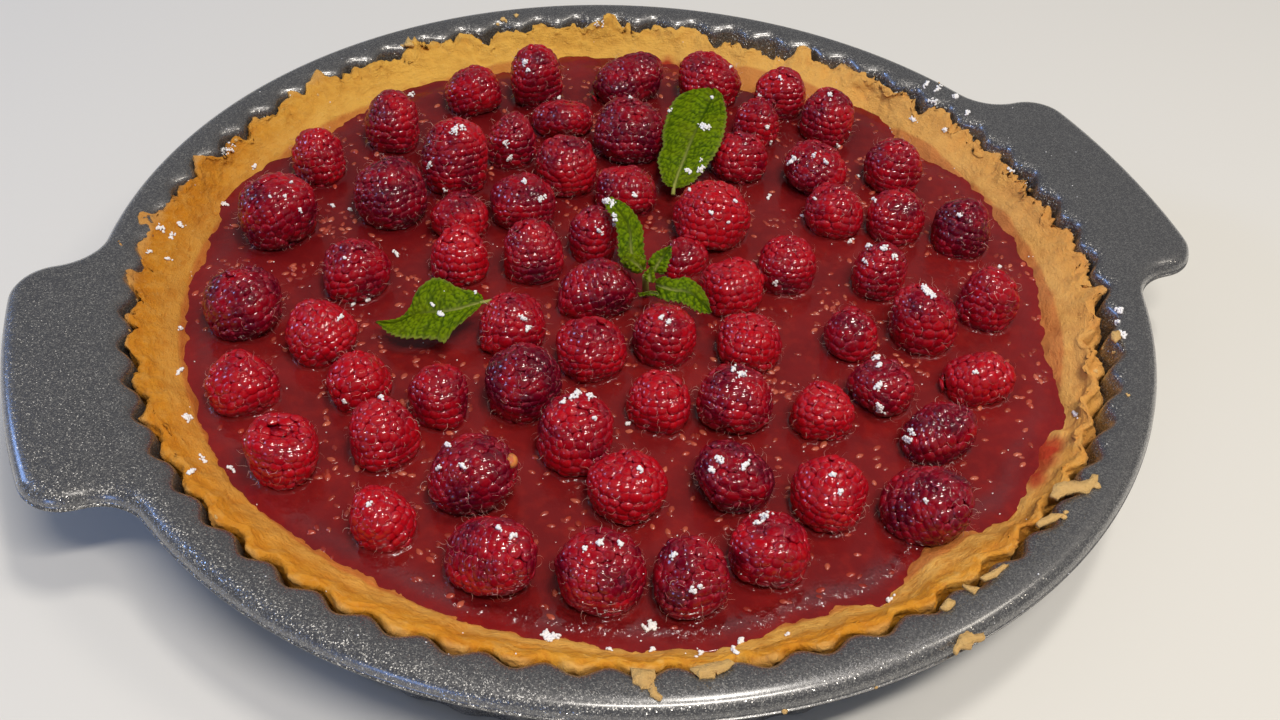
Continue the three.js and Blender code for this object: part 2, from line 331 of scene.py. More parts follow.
def turned(outline, steps, sectors=1):
    """An outline of (radius, height) points spun round Z: one sector, then its copies."""
    bm = bmesh.new()
    line = [bm.verts.new((point.x, 0, point.y)) for point in outline]
    edges = [bm.edges.new(pair) for pair in zip(line, line[1:])]
    bmesh.ops.spin(
        bm, geom=line + edges, cent=(0, 0, 0), axis=(0, 0, 1), dvec=(0, 0, 0),
        angle=2 * math.pi / sectors, steps=steps, use_merge=sectors == 1,
    )
    if sectors > 1:
        turns = [Matrix.Rotation(2 * math.pi * k / sectors, 4, "Z") for k in range(sectors)]
        bm = joined(small_shape(bm), turns)
    bmesh.ops.remove_doubles(bm, verts=bm.verts, dist=0.001)
    bmesh.ops.recalc_face_normals(bm, faces=bm.faces)
    return bm


# %% [markdown]
# ## The tin
# The real tin is pressed from one sheet: a flat floor, a fluted wall, a flat flange, and an edge rolled down
# all round. The two handles are the same flange drawn out into wings, with no seam. So they are not joined
# on afterwards: the turned flange is stretched outwards to the wing's outline, and its rolled edge goes
# with it.

# %% Tin sizes and the wing's outline
RIM, TIN_HEIGHT, SHEET = 150.0, 35.0, 1.2
WALL_TOP, WALL_FOOT = 140.3, 133.5
FLUTES, FLUTE_DEPTH = 62, 2.8
EDGE_ROLL, EDGE_DEPTH = 4.8, 4.8
FLANGE_START = 144.9
WING_REACH, WING_BOW, WING_HALF = 170.0, 4.5, 46.0
WING_CORNER, WING_HOLLOW = 13.0, 14.0
WING_SPREAD = math.radians(27)             # how far round the rim a wing is felt
ARC_POINTS = 25


def wing_outline():
    """Points and outward directions from the middle of a wing to the rim, a quarter of its outline."""
    bow = (WING_HALF ** 2 + WING_BOW ** 2) / (2 * WING_BOW)
    front = Vector((WING_REACH - bow, 0))
    corner_y = WING_HALF - WING_CORNER
    corner = Vector((front.x + math.sqrt((bow - WING_CORNER) ** 2 - corner_y ** 2), corner_y))
    hollow_y = WING_HALF + WING_HOLLOW
    hollow = Vector((math.sqrt((RIM + WING_HOLLOW) ** 2 - hollow_y ** 2), hollow_y))
    turn_front = math.atan2(corner.y, corner.x - front.x)
    turn_rim = math.atan2(hollow.y, hollow.x)
    arcs = [
        (front, bow, 0, turn_front),
        (corner, WING_CORNER, turn_front, math.pi / 2),
        (hollow, -WING_HOLLOW, math.pi / 2, turn_rim),
        (Vector((0, 0)), RIM, turn_rim, WING_SPREAD),
    ]
    points = []
    for middle, radius, start, end in arcs:
        for i in range(ARC_POINTS):
            angle = start + (end - start) * i / (ARC_POINTS - 1)
            outward = Vector((math.cos(angle), math.sin(angle)))
            points.append((middle + outward * radius, outward))
    return points


WING = wing_outline()
WING_RUN = [0.0]
for (a, _), (b, _) in zip(WING, WING[1:]):
    WING_RUN.append(WING_RUN[-1] + (b - a).length)
JOIN = 3 * ARC_POINTS - 1                  # where the wing's outline meets the round rim
JOIN_ANGLE = math.atan2(WING[JOIN][0].y, WING[JOIN][0].x)
print("half a wing's outline, mm:", round(WING_RUN[-1], 1), "before the rim:", round(WING_RUN[JOIN], 1))


def wing_edge(angle):
    """The outline's point and outward direction for an angle, spaced evenly on the wing and on the rim."""
    goal = WING_RUN[JOIN] * min(1.0, angle / JOIN_ANGLE) ** 0.85
    if angle > JOIN_ANGLE:
        goal += (WING_RUN[-1] - WING_RUN[JOIN]) * (angle - JOIN_ANGLE) / (WING_SPREAD - JOIN_ANGLE)
    i = next(k for k in range(1, len(WING_RUN)) if WING_RUN[k] >= goal - 1e-9)
    t = (goal - WING_RUN[i - 1]) / max(1e-9, WING_RUN[i] - WING_RUN[i - 1])
    (a, way_a), (b, way_b) = WING[i - 1], WING[i]
    return a.lerp(b, t), way_a.lerp(way_b, t).normalized()


# %% Turning and fluting the tin
def ridge(angle):
    """1 on the ridge between two hollows of the flutes, 0 in the hollow."""
    return 0.5 + 0.5 * math.cos(FLUTES * angle)


def stretch_to_wing(point):
    """Moves a point of the round flange outwards to the wings' outline."""
    radius = math.hypot(point.x, point.y)
    angle = math.atan2(abs(point.y), abs(point.x))
    if radius < FLANGE_START or angle > WING_SPREAD:
        return
    edge, outward = wing_edge(angle)
    depth = RIM - radius
    spot = edge - outward * min(depth, EDGE_ROLL)
    if depth > EDGE_ROLL:
        inner = Vector((math.cos(angle), math.sin(angle))) * FLANGE_START
        spot = spot.lerp(inner, (depth - EDGE_ROLL) / (RIM - EDGE_ROLL - FLANGE_START))
    point.x = math.copysign(spot.x, point.x)
    point.y = math.copysign(spot.y, point.y)


tin_outline = soft_outline([
    (0, SHEET, 0),
    (WALL_FOOT, SHEET, 2.5),
    (WALL_TOP, TIN_HEIGHT, 3.7),
    (RIM, TIN_HEIGHT, EDGE_ROLL),
    (RIM, TIN_HEIGHT - EDGE_DEPTH, 0.5),
    (RIM - SHEET, TIN_HEIGHT - EDGE_DEPTH, 0.4),
    (RIM - SHEET, TIN_HEIGHT - SHEET, EDGE_ROLL - SHEET),
    (WALL_TOP + SHEET, TIN_HEIGHT - SHEET, 3.2),
    (WALL_FOOT + 0.8, 0, 3),
    (0, 0, 0),
], longest=2.6)
tin_mesh = turned(tin_outline, 12, FLUTES)
for vert in tin_mesh.verts:
    radius = math.hypot(vert.co.x, vert.co.y)
    if radius < 1:
        continue
    wall = smooth_share(radius, WALL_FOOT - 4, WALL_FOOT) * smooth_share(radius, FLANGE_START, WALL_TOP - 1)
    wall *= smooth_share(vert.co.z, -2, 5)
    pull = FLUTE_DEPTH * wall * ridge(math.atan2(vert.co.y, vert.co.x))
    vert.co.x *= 1 - pull / radius
    vert.co.y *= 1 - pull / radius
    stretch_to_wing(vert.co)
print("tin outline has", len(tin_outline), "points")

# %% [markdown]
# ### The non-stick coating
# The coating is graphite grey full of fine metallic flecks, under a clear gloss. A noise that tints the
# colour would look painted on: the real one glitters, because each fleck is a small flat mirror that lies
# its own way. So every small cell of a Voronoi pattern is tilted by its own random colour, and some are
# brighter. The clear coat keeps the smooth surface's own normal, so the lamps still draw lines along the
# rolled edge.

# %% Coating
FLECK_SIZE = 0.26                          # mm
coating = Finish("tin_coating")
spot = coating.place()
cell = coating.cells(spot, FLECK_SIZE)
bright = coating.step(coating.part(cell, 0), 0.50, 1.0)
glint = coating.step(coating.part(cell, 1), 0.90, 0.97)
cloud = coating.noise(spot, 16, 3)
ground = coating.mix(cloud, rgb(0.095, 0.093, 0.096), rgb(0.118, 0.115, 0.117))
ground = coating.mix(bright * 0.7, ground, rgb(0.42, 0.415, 0.40))
surface_way = coating.node("NewGeometry", output=1)
fleck_way = coating.vector("SUBTRACT", cell, (0.5, 0.5, 0.5))
tilt = {0: fleck_way, "Scale": bright * 0.95 + 0.30}
fleck_way = coating.node("VectorMath", {"operation": "SCALE"}, tilt)
coating_material = coating.surface({
    "Base Color": coating.mix(glint * 0.6, ground, rgb(0.62, 0.60, 0.56)),
    "Metallic": 0.60 + glint * 0.3,
    "Roughness": 0.36 - glint * 0.10,
    "Normal": coating.vector("NORMALIZE", coating.vector("ADD", surface_way, fleck_way)),
    "Coat Weight": 0.9,
    "Coat Roughness": 0.20,
    "Coat IOR": 1.7,
})
tin = make_piece("tin_pressed", tin_mesh, coating_material, ["tin"])
print("tin:", triangles(tin), "triangles")

# %% [markdown]
# ## The crust
# Shortcrust is pressed into the flutes, so its outside repeats them, and its top is where the dough was torn
# or trimmed: crumbly at the back and sides, nearly clean at the front. A sculpting brush would do this by
# hand. Here the shell is turned from an outline, and its points are moved twice. The first round gives the
# broad shape, the torn edge and the slope pressed down to the jam, from what was measured round the tart and
# from noise. The second follows the new surface's own normals and gives it the relief of crumbly dough.

# %% Crust sizes
CRUST_OUT, CRUST_FOOT = 138.7, 132.3
CRUST_TOP, CRUST_BASE = 32.2, 1.6
JAM_EDGE, JAM_LEVEL = 124.7, 24.7
INNER_FOOT, FLOOR_TOP = 119.0, 6.7
LIP = 3.0                                  # how wide the level top is
STREAK_RADIUS = 135.0                      # where streaks of the dough are measured round the tart

# Round the tart, as (degrees, value): how torn the edge is, 0 to 1; then, in mm, how far the top has shrunk
# from the wall, how much higher it stands, and how far its inner slope reaches in over the jam.
TORN = [
    (0, 1.0), (60, 0.9), (130, 0.8), (165, 0.9), (182, 0.6), (205, 0.35), (222, 0.12), (250, 0.10),
    (262, 0.30), (290, 0.25), (303, 0.5), (325, 0.5), (345, 0.8),
]
SHRUNK = [
    (0, 1.8), (10, -1.2), (20, 0.7), (30, 0.3), (40, -2.4), (50, 5.2), (60, 0.9), (70, 0.1), (80, 0.2),
    (90, 3.0), (100, -2.1), (110, 0.7), (120, -2.8), (130, -0.9), (140, -0.4), (150, -1.7), (160, -5.2),
    (170, -0.6), (180, -0.3), (190, 0.2), (200, 0.3), (210, -0.1), (220, 0.2), (230, -0.5), (260, -1.0),
    (280, 0.0), (300, 1.0), (310, 0.4), (320, 3.6), (330, 4.2), (340, -0.6), (350, -0.7),
]
RAISED = [
    (0, 0.5), (30, 0.9), (42, 1.2), (50, 0.2), (60, 1.6), (90, 1.6), (100, 2.4), (110, 0.8), (120, 2.8),
    (130, 1.9), (145, 2.3), (160, 2.4), (170, 1.1), (190, 0.8), (215, 1.5), (240, 2.4), (285, 2.3),
    (305, 1.3), (330, 0.5), (345, 0.9),
]
INWARD = [
    (0, 3.7), (10, 0.6), (20, 6.5), (30, -3.0), (33, -2.0), (40, 9.4), (45, 11.5), (50, 12.0),
    (60, 3.4), (70, 0.9), (75, -0.2), (80, -0.8), (90, 5.3), (100, 1.8), (110, -0.1), (120, 3.4),
    (130, 4.6), (140, -2.2), (143, -2.3), (150, 1.6), (155, 2.6), (160, 2.7), (170, 3.0), (180, 2.9),
    (190, 2.0), (195, 1.8), (200, 2.1), (210, 1.8), (220, 3.3), (223, 3.2), (230, 1.7), (235, 1.3),
    (240, 1.7), (246, 1.7), (250, 1.2), (255, 0.4), (260, -1.0), (264, -0.6), (270, 2.2), (275, 2.2),
    (280, 0.2), (285, 3.1), (290, 7.8), (295, 3.4), (300, -1.5), (304, -1.6), (310, 2.0), (320, -0.5),
    (330, 5.4), (333, 6.1), (340, 4.9), (345, 4.1), (350, 3.9),
]
# Chunks that stand up: middle (degrees), half width (degrees), rise and reach outwards (mm).
CHUNKS = [
    (20.5, 2.4, 3.0, 0.4), (27, 1.2, 1.6, 0.3), (34, 1.8, 1.0, 0.3), (44, 1.8, 2.4, 0.5),
    (52, 1.4, 1.0, 0), (63, 2.0, 1.0, 0.4), (74, 2.4, 4.2, 0.6), (81, 1.4, 0.8, 0), (89, 3.4, 1.5, 0.4),
    (103, 1.3, 3.2, 0.2), (110, 2.0, 0.8, 0.2), (118, 2.2, 2.2, 0.5), (127, 1.5, 0.9, 0.2),
    (142, 2.6, 1.5, 0.8), (151, 1.2, 1.2, 1.6), (155.5, 2.2, 1.9, 2.6), (160.5, 1.6, 1.5, 2.4),
    (172, 1.6, 0.7, 0.6), (191, 1.8, 1.1, 0.5), (204, 1.5, 0.5, 0.5), (296, 2.2, 0.6, 0.3),
    (310, 2.4, 0.6, 0.9), (325, 2.0, 0.5, 0.5), (338, 2.6, 0.8, 0.7), (349, 1.6, 0.8, 0.3),
    (356, 1.3, 0.6, 0.2),
]
# Notches torn out of the edge: middle, half width (degrees), depth (mm).
NOTCHES = [
    (8, 1.0, 1.2), (14.5, 0.9, 1.5), (22.8, 0.7, 2.2), (31, 0.8, 1.5), (39, 1.0, 1.4), (46.5, 0.8, 2.2),
    (57, 1.1, 2.4), (68, 0.9, 1.2), (77.5, 0.7, 2.0), (92.5, 1.0, 2.2), (97, 0.8, 1.0), (106, 0.9, 1.5),
    (113.5, 0.9, 1.3), (122.5, 0.8, 1.0), (134, 1.0, 1.3), (147.5, 0.9, 1.4), (163, 0.9, 1.4),
    (178, 0.9, 1.0), (186, 0.8, 0.9), (257, 0.7, 1.0), (302.5, 0.8, 1.0), (315, 0.9, 0.7),
    (331, 0.8, 0.6), (344, 0.9, 0.9), (353, 0.7, 0.9),
]


def bumps(degrees, table, column):
    """The largest of a table's tent-shaped bumps at an angle."""
    best = 0.0
    for row in table:
        away = abs((degrees - row[0] + 180) % 360 - 180) / row[1]
        if away < 1:
            best = max(best, row[column] * (1 - away ** 1.6))
    return best


# %% Turning the crust
COLUMNS_A_FLUTE = 18
SHOWN_FROM, SHOWN_WHOLLY = 20, 24          # heights in mm between which the relief fades in
crust_outline = soft_outline([
    (0, FLOOR_TOP, 0),
    (INNER_FOOT, FLOOR_TOP, 3),
    (JAM_EDGE - 1.2, JAM_LEVEL - 2.5, 3),
    (CRUST_OUT - LIP, CRUST_TOP - 0.5, 1.6),
    (CRUST_OUT, CRUST_TOP, 1.2),
    (CRUST_OUT - 1.8, 22, 0),
    (CRUST_FOOT, CRUST_BASE, 1.5),
    (0, CRUST_BASE, 0),
], longest=0.75, finer_from=122.6, curve_steps=4)
crust_mesh = turned(crust_outline, COLUMNS_A_FLUTE, FLUTES)
# each point carries a share of painted edge highlight, a share of painted pit shade, how torn and how far out
# it lies
marks_and_painted_light = crust_mesh.verts.layers.float_color.new("bake")
print("crust outline has", len(crust_outline), "points")


# %% Shaping and tearing the crust
def lump(place, size):
    """Broken lumps of about this size: how far each stands up (-1 to 1), and 0 at their edges."""
    stretch, middles = noise.voronoi(place / size)
    return noise.cell(middles[0] * 7.3) * 2 - 1, min(1.0, (stretch[1] - stretch[0]) * 3.2)


for vert in crust_mesh.verts:
    radius = math.hypot(vert.co.x, vert.co.y)
    if radius < INNER_FOOT:
        continue
    angle = math.atan2(vert.co.y, vert.co.x)
    degrees = math.degrees(angle) % 360
    torn = around(degrees, TORN)
    shown = smooth_share(vert.co.z, SHOWN_FROM, SHOWN_WHOLLY)
    slope = smooth_share(radius, JAM_EDGE - 3, JAM_EDGE + 4) * shown
    rim = smooth_share(radius, JAM_EDGE + 5, CRUST_OUT - 1) * smooth_share(vert.co.z, SHOWN_WHOLLY, 30)
    outside = smooth_share(radius, CRUST_FOOT - 2, CRUST_OUT - 1.5)
    top = smooth_share(vert.co.z, 25, 31)
    # the broad shape: how far the top rises, and how far the outside is pulled in
    wave = noise.noise(Vector((degrees / 9, 3, 0))) * 0.9 + noise.noise(Vector((degrees / 3.1, 9, 0))) * 0.5
    rise = wave * (0.4 + 0.6 * torn) + bumps(degrees, CHUNKS, 2) * 0.85 + around(degrees, RAISED)
    scallop = FLUTE_DEPTH * (0.85 + 0.3 * noise.noise(Vector((degrees / 4.0, 5, 0)))) * ridge(angle)
    pull = outside * scallop + outside * top * around(degrees, SHRUNK)
    # the torn edge
    broken, _ = lump(Vector((degrees * 0.62, radius / 5.0, vert.co.z / 6.0)), 1.0)
    tooth = noise.noise(Vector((degrees * 0.95, radius / 2.2, vert.co.z / 2.0)))
    shred = noise.noise(Vector((degrees * 2.6, radius / 1.5, vert.co.z / 1.2)))
    notch = bumps(degrees, NOTCHES, 2)
    rise += torn * (broken * 0.5 + tooth * 0.7 + shred * 0.3)
    rise -= notch * 0.8 + ridge(angle) * (0.9 - 0.5 * torn)
    thrust = torn * (broken * 0.6 + tooth * 0.9 + shred * 0.35) + bumps(degrees, CHUNKS, 3) - notch * 0.5
    pull -= rim * thrust
    # the slope down to the jam, pressed by hand
    dent = noise.noise(Vector((degrees / 6.5, 21, radius / 40))) * 1.3 + noise.noise(vert.co / 7) * 0.7
    inner = smooth_share(radius, 137, 128) * smooth_share(vert.co.z, 17, 22)
    reach_in = around(degrees, INWARD) + noise.noise(Vector((degrees / 4.2, 31, 0))) * 1.3
    pull += inner * (reach_in + noise.noise(vert.co / 4) * 0.7)
    fall = 0.6 * smooth_share(radius, CRUST_OUT - 1, CRUST_OUT) * top
    vert.co.z += rise * rim - fall + dent * slope * (1 - rim)
    vert.co.x *= 1 - pull / radius
    vert.co.y *= 1 - pull / radius

# %% The relief of the crust
crust_mesh.normal_update()
for vert in crust_mesh.verts:
    radius = math.hypot(vert.co.x, vert.co.y)
    shown = smooth_share(vert.co.z, SHOWN_FROM, SHOWN_WHOLLY)
    if shown == 0:
        vert[marks_and_painted_light] = (0, 0, 0, 0)
        continue
    degrees = math.degrees(math.atan2(vert.co.y, vert.co.x)) % 360
    torn = around(degrees, TORN)
    outward = smooth_share(radius, JAM_EDGE + 1, CRUST_OUT - 2)
    along = math.radians(degrees) * STREAK_RADIUS
    swell = noise.noise(vert.co / 9) * 0.6 + noise.noise(vert.co / 4.2 + Vector((7, 0, 0))) * 0.4
    twist = noise.noise(vert.co / 14) * 3
    fibre = 0.5 - abs(noise.noise(Vector((along / 8, radius / 2.4 + twist, vert.co.z / 2.4)))) * 2.6
    stood, crack = lump(vert.co + noise.noise_vector(vert.co / 3) * 1.5, 3.3)
    crumb = noise.noise(vert.co / 2.3) * 0.30 + noise.noise(vert.co / 1.2) * 0.18
    height = swell * 0.7 + fibre * 0.38 * (1 - 0.4 * torn)
    height += (stood * 0.28 + (crack - 1) * 0.25) * outward * torn + crumb * (0.6 + outward * torn)
    vert.co += vert.normal * height * shown
    # a share near the outermost edge, for a painted highlight there
    edge_highlight = smooth_share(radius, CRUST_OUT - 1.7, CRUST_OUT - 0.4)
    # how deep the point lies in the relief, for painted shade in its pits
    hollow = min(1.0, max(0.0, (1 - crack) * outward * torn * 0.6 - fibre * 0.35 - crumb))
    vert[marks_and_painted_light] = (edge_highlight, hollow, torn, outward)
print("relief on", len(crust_mesh.verts), "points")

# %% [markdown]
# ### Baked shortcrust
# Baked dough is never one colour: it is golden where the butter fried it, browner in patches and streaks,
# and pale on the slope inside and where a crumb broke off. Painted shade darkens its pits, a painted
# highlight lightens its outermost edge, and painted light lightens the back, whose slope faces the lamp above
# the front. One tint over another could be painted by hand. Here each tint is laid by a noise, by the side of
# the tart it is on, or by the edges and pits that were stored with the points as the mesh was made.

# %% Shortcrust finish
def shortcrust(name, last_tint):
    """Baked dough; last_tint adds the colour that only this piece of it has."""
    dough = Finish(name)
    place = dough.place()
    # the painted edge highlight, the painted pit shade, how torn and how far out
    edge, pit_shade, torn, outward = dough.stored("bake")
    x, y, z = (dough.axis(place, index) for index in range(3))
    flat = dough.vector("MULTIPLY", place, (1, 1, 0))
    reach = dough.vector("LENGTH", flat, output=1)
    # streaks run round the tart, so their pattern is read on a ring and up and across it
    way_out = dough.vector("NORMALIZE", flat)
    across = (reach + z) * 3 + dough.noise(place, 12, 2) * 0.012
    lifted = dough.node("CombineXYZ", None, {2: across})
    streak_place = dough.vector("MULTIPLY_ADD", way_out, (STREAK_RADIUS * MM,) * 3, lifted)
    streak = dough.noise(streak_place, 3.2, 5, 0.65)
    slow = dough.noise(place, 26, 2)
    patch = dough.noise(place, 5, 4, 0.6)
    grain = dough.noise(place, 0.9, 5, 0.75)
    left_side = dough.step(x, -0.03, -0.12)
    gold = dough.mix(dough.step(slow, 0.35, 0.65), rgb(0.77, 0.300, 0.014), rgb(0.83, 0.375, 0.030))
    tints = [
        (dough.step(outward, 0.75, 0.05) * 0.6, rgb(0.86, 0.50, 0.13)),
        (dough.step(patch, 0.50, 0.66) * 0.55, rgb(0.88, 0.50, 0.11)),
        (dough.step(patch, 0.50, 0.36) * 0.45, rgb(0.66, 0.215, 0.008)),
        (dough.step(streak, 0.46, 0.34) * 0.55, rgb(0.52, 0.150, 0.006)),
        (dough.step(streak, 0.54, 0.68) * 0.35, rgb(0.90, 0.56, 0.17)),
        (left_side * 0.45, rgb(0.70, 0.235, 0.005)),
        # painted light: the back's slope faces the lamp above the front, so it is lightened, less at the left
        (dough.step(y, -0.01, 0.10) * (0.85 - left_side * 0.85), rgb(1.0, 0.57, 0.10)),
        # painted shade: the deeper a point lies in the relief, the darker its pit
        (pit_shade * 0.5, rgb(0.45, 0.140, 0.008)),
        (dough.step(x, 0.02, 0.13) * 0.5, rgb(0.96, 0.50, 0.17)),
        # painted highlight along the outermost edge
        (edge * 0.3, rgb(0.88, 0.58, 0.24)),
        (dough.step(grain, 0.56, 0.72) * torn * 0.4, rgb(0.93, 0.66, 0.28)),
    ]
    for share, tint in tints:
        gold = dough.mix(share, gold, tint)
    return dough.surface({
        "Base Color": last_tint(dough, place, reach, gold),
        "Roughness": 0.55 + grain * 0.3,
        "Normal": dough.bump(grain * (torn * 0.9 + 0.4) + patch * 0.6 + streak * 0.7, 0.9, 0.9),
        "Specular IOR Level": 0.3,
    })


# %% Jam on the crust
# x, y and half length in mm of each smear on the inside of the crust
SMEARS = [
    (86, -93, 5.5), (81, -97, 6), (76, -102, 4.5), (-37, 118, 4), (-31, 120, 3), (20, 122, 4),
    (54, 111.5, 4),
]
SMEAR_HEIGHT, SMEAR_RAGGED = 27, 2.4       # mm


def jam_run(dough, place, reach, gold):
    """Jam that has crept up the crust: a thin wet line all round and a few larger smears."""
    smear = dough.step(reach, (JAM_EDGE + 1.6) * MM, (JAM_EDGE + 0.2) * MM) * 0.5
    for x, y, size in SMEARS:
        middle = (x * MM, y * MM, SMEAR_HEIGHT * MM)
        away = dough.vector("DISTANCE", place, middle, output=1)
        ragged = away + dough.noise(place, 4, 3) * (SMEAR_RAGGED * MM)
        smear = smear + dough.step(ragged, (size + 2.2) * MM, (size * 0.3 + 1.2) * MM) * 0.9
    return dough.mix(smear, gold, rgb(0.52, 0.045, 0.012))


crust = make_piece("crust_baked", crust_mesh, shortcrust("shortcrust", jam_run), ["crust"])
print("crust:", triangles(crust), "triangles")

# %% [markdown]
# ## The raspberries
# A raspberry is a thimble of little drops, the drupelets, in staggered rows round a core. Displacing one
# smooth skin would soften the creases between them, so each drupelet is a small closed dome of its own,
# copied, turned and squashed into its row. Each packed berry gives the place, lean, width and length: its
# two poles are the only corners where seven edges meet, and the narrower end is the tip.

# %% Reading a packed berry
POLE_EDGES = 7
WIDEST_RING = 0.954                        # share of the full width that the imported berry's widest ring has
BERRY_SUNK = 4.0                           # how deep a small berry's lowest point lies in the jam, in mm


def thimble(height):
    """Radius of a berry, as a share, from height -1 (the foot) to 1 (the tip)."""
    away = min(1.0, abs(height))
    return (1 - away ** 2.6) ** (1 / 2.2) if height < 0 else (1 - away ** 2.1) ** (1 / 1.9)


def packed_berry(node):
    """Placing matrix, width and length of a packed berry, in mm, with its tip along +Z."""
    spots = [tuple(round(c / MM, 2) for c in vert.co) for vert in node.data.vertices]
    near = {}
    for face in node.data.polygons:
        for a in face.vertices:
            near.setdefault(spots[a], set()).update(spots[b] for b in face.vertices if spots[b] != spots[a])
    poles = [Vector(spot) for spot, others in near.items() if len(others) == POLE_EDGES]
    if len(poles) != 2:
        raise ValueError(f"{node.name} has {len(poles)} poles")
    axis = (poles[1] - poles[0]).normalized()
    off_axis = {spot: (Vector(spot) - poles[0]).cross(axis).length for spot in near}
    mouth = [sum(off_axis[s] for s in near[tuple(round(c, 2) for c in pole)]) for pole in poles]
    tip, foot = (poles[0], poles[1]) if mouth[0] < mouth[1] else (poles[1], poles[0])
    up = (tip - foot).normalized().to_track_quat("Z", "Y").to_matrix().to_4x4()
    place = Matrix.Translation((tip + foot) / 2) @ up
    return place, 2 * max(off_axis.values()) / WIDEST_RING, (tip - foot).length


def placed_berry(x, y, width, length, lean_to, lean):
    """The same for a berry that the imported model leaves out: its foot is sunk in the jam."""
    tilt = math.radians(lean)
    leaning = Matrix.Rotation(math.radians(lean_to), 4, "Z") @ Matrix.Rotation(tilt, 4, "Y")
    sides = [(thimble(h / 10) * width / 2, h / 10 * length / 2) for h in range(-10, 11)]
    lowest = min(z * math.cos(tilt) - r * math.sin(tilt) for r, z in sides)
    return Matrix.Translation((x, y, JAM_LEVEL - BERRY_SUNK - lowest)) @ leaning, width, length


first = packed_berry(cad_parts["berry_01"])
print("berry_01: width", round(first[1], 1), "length", round(first[2], 1), "mm")

# %% [markdown]
# ### Growing a berry
# The rows are walked from the tip down the outline, a row every two millimetres or so, and each row takes as
# many drupelets as fit. A little chance in size, place and colour keeps it from looking like a pattern. Four
# numbers are stored with every point for the finish: how near it is to the drupelet's crown, how ripe that
# drupelet is, how bright its berry is, and whether it is the one that stayed pale.

# %% One drupelet
DOME = (2.20, 1.92, 1.42)                  # half width, half height and thickness of a drupelet, in mm
DOME_CUT = 0.3                             # where its underside is cut off, as a share of the thickness
drupelet = bmesh.new()
bmesh.ops.create_uvsphere(drupelet, u_segments=10, v_segments=8, radius=1)
under = [vert for vert in drupelet.verts if vert.co.z < DOME_CUT]
bmesh.ops.delete(drupelet, geom=under, context="VERTS")
bmesh.ops.holes_fill(drupelet, edges=[edge for edge in drupelet.edges if edge.is_boundary], sides=0)
drupelet = small_shape(drupelet)
print("a drupelet has", sum(len(face.vertices) - 2 for face in drupelet.polygons), "triangles")

# %% Rows of drupelets
ACROSS, ROW_STEP = 2.75, 2.3               # mm between drupelets in a row, and between rows


def thimble_outline(width, length):
    """The outline of a berry from its tip to its foot, as (radius, height) points."""
    heights = [math.cos(math.pi * i / 60) for i in range(61)]
    return [Vector((thimble(h) * width / 2, h * length / 2)) for h in heights]


def rows_along(outline, chance):
    """Spots along an outline, a row apart, each with its outward direction."""
    run = [0.0]
    for a, b in zip(outline, outline[1:]):
        run.append(run[-1] + (b - a).length)
    goal = 0.0
    while goal < run[-1]:
        i = max(1, next(k for k in range(len(run)) if run[k] >= goal))
        t = (goal - run[i - 1]) / max(1e-6, run[i] - run[i - 1])
        side = (outline[i] - outline[i - 1]).normalized()
        yield outline[i - 1].lerp(outline[i], t), Vector((-side.y, side.x))
        goal += ROW_STEP * chance.uniform(0.95, 1.05)


# %% A grown berry
LOWEST_DRUPELET = JAM_LEVEL - 1.6          # what lies deeper in the jam is left out
WOBBLE, WOBBLE_SIZE = 1.3, 11.0            # how far a berry is out of true, over what distance, in mm
UNRIPE = Vector((-54.0, -66.5, 35.8))      # where the one pale drupelet is, in mm
UNRIPE_WITHIN = 3.0                        # how near to that place a drupelet has to lie, in mm
hair_roots = []


def grow_berry(outline, place, tone, seed):
    """Drupelets in rows along an outline of (radius, height) points, over a plain core."""
    chance = random.Random(seed)
    stands, marks = [], []
    for row, (spot, outward) in enumerate(rows_along(outline, chance)):
        count = max(1, round(2 * math.pi * max(0.0, spot.x - 0.4) / ACROSS))
        shift = chance.uniform(0, 0.35) + 0.5 * (row % 2)
        normal = Vector((outward.x, 0, outward.y)) if count > 1 else Vector((0, 0, 1))
        east = Vector((0, 1, 0))           # along the row
        basis = Matrix((east, normal.cross(east), normal)).transposed().to_4x4()
        for k in range(count):
            turn = Matrix.Rotation(2 * math.pi * (k + shift + chance.uniform(-0.18, 0.18)) / count, 4, "Z")
            drift = chance.uniform(-0.40, 0.40)
            centre = Vector((spot.x, 0, spot.y + drift)) - normal * DOME[2]
            size = chance.uniform(0.85, 1.17)
            thick = DOME[2] * chance.uniform(0.93, 1.14)
            scale = Matrix.Diagonal((DOME[0] * size, DOME[1] * size, thick, 1))
            stand = place @ turn @ Matrix.Translation(centre) @ basis @ scale
            if stand.translation.z < LOWEST_DRUPELET:
                continue
            stands.append(stand)
            marks.append((chance.random(), tone, 0))
            root = place @ turn @ Vector((spot.x - 0.2, 0.5 * ACROSS, spot.y))
            hair_roots.append((root, (place @ turn).to_3x3() @ normal))
    aside = [(stand.translation - UNRIPE).length for stand in stands]
    if min(aside) < UNRIPE_WITHIN:
        pale = aside.index(min(aside))
        marks[pale] = (1, 1, 1)
        stands[pale] = stands[pale] @ Matrix.Diagonal((1.4, 1.15, 1.8, 1))
        print("pale drupelet", round(aside[pale], 1), "mm from its place")
    bm = joined(drupelet, stands, marks, "skin")
    add_core(bm, outline, place)
    for vert in bm.verts:
        vert.co += noise.noise_vector(vert.co / WOBBLE_SIZE + Vector((seed * 1.7, seed * 0.9, 0))) * WOBBLE
    return bm


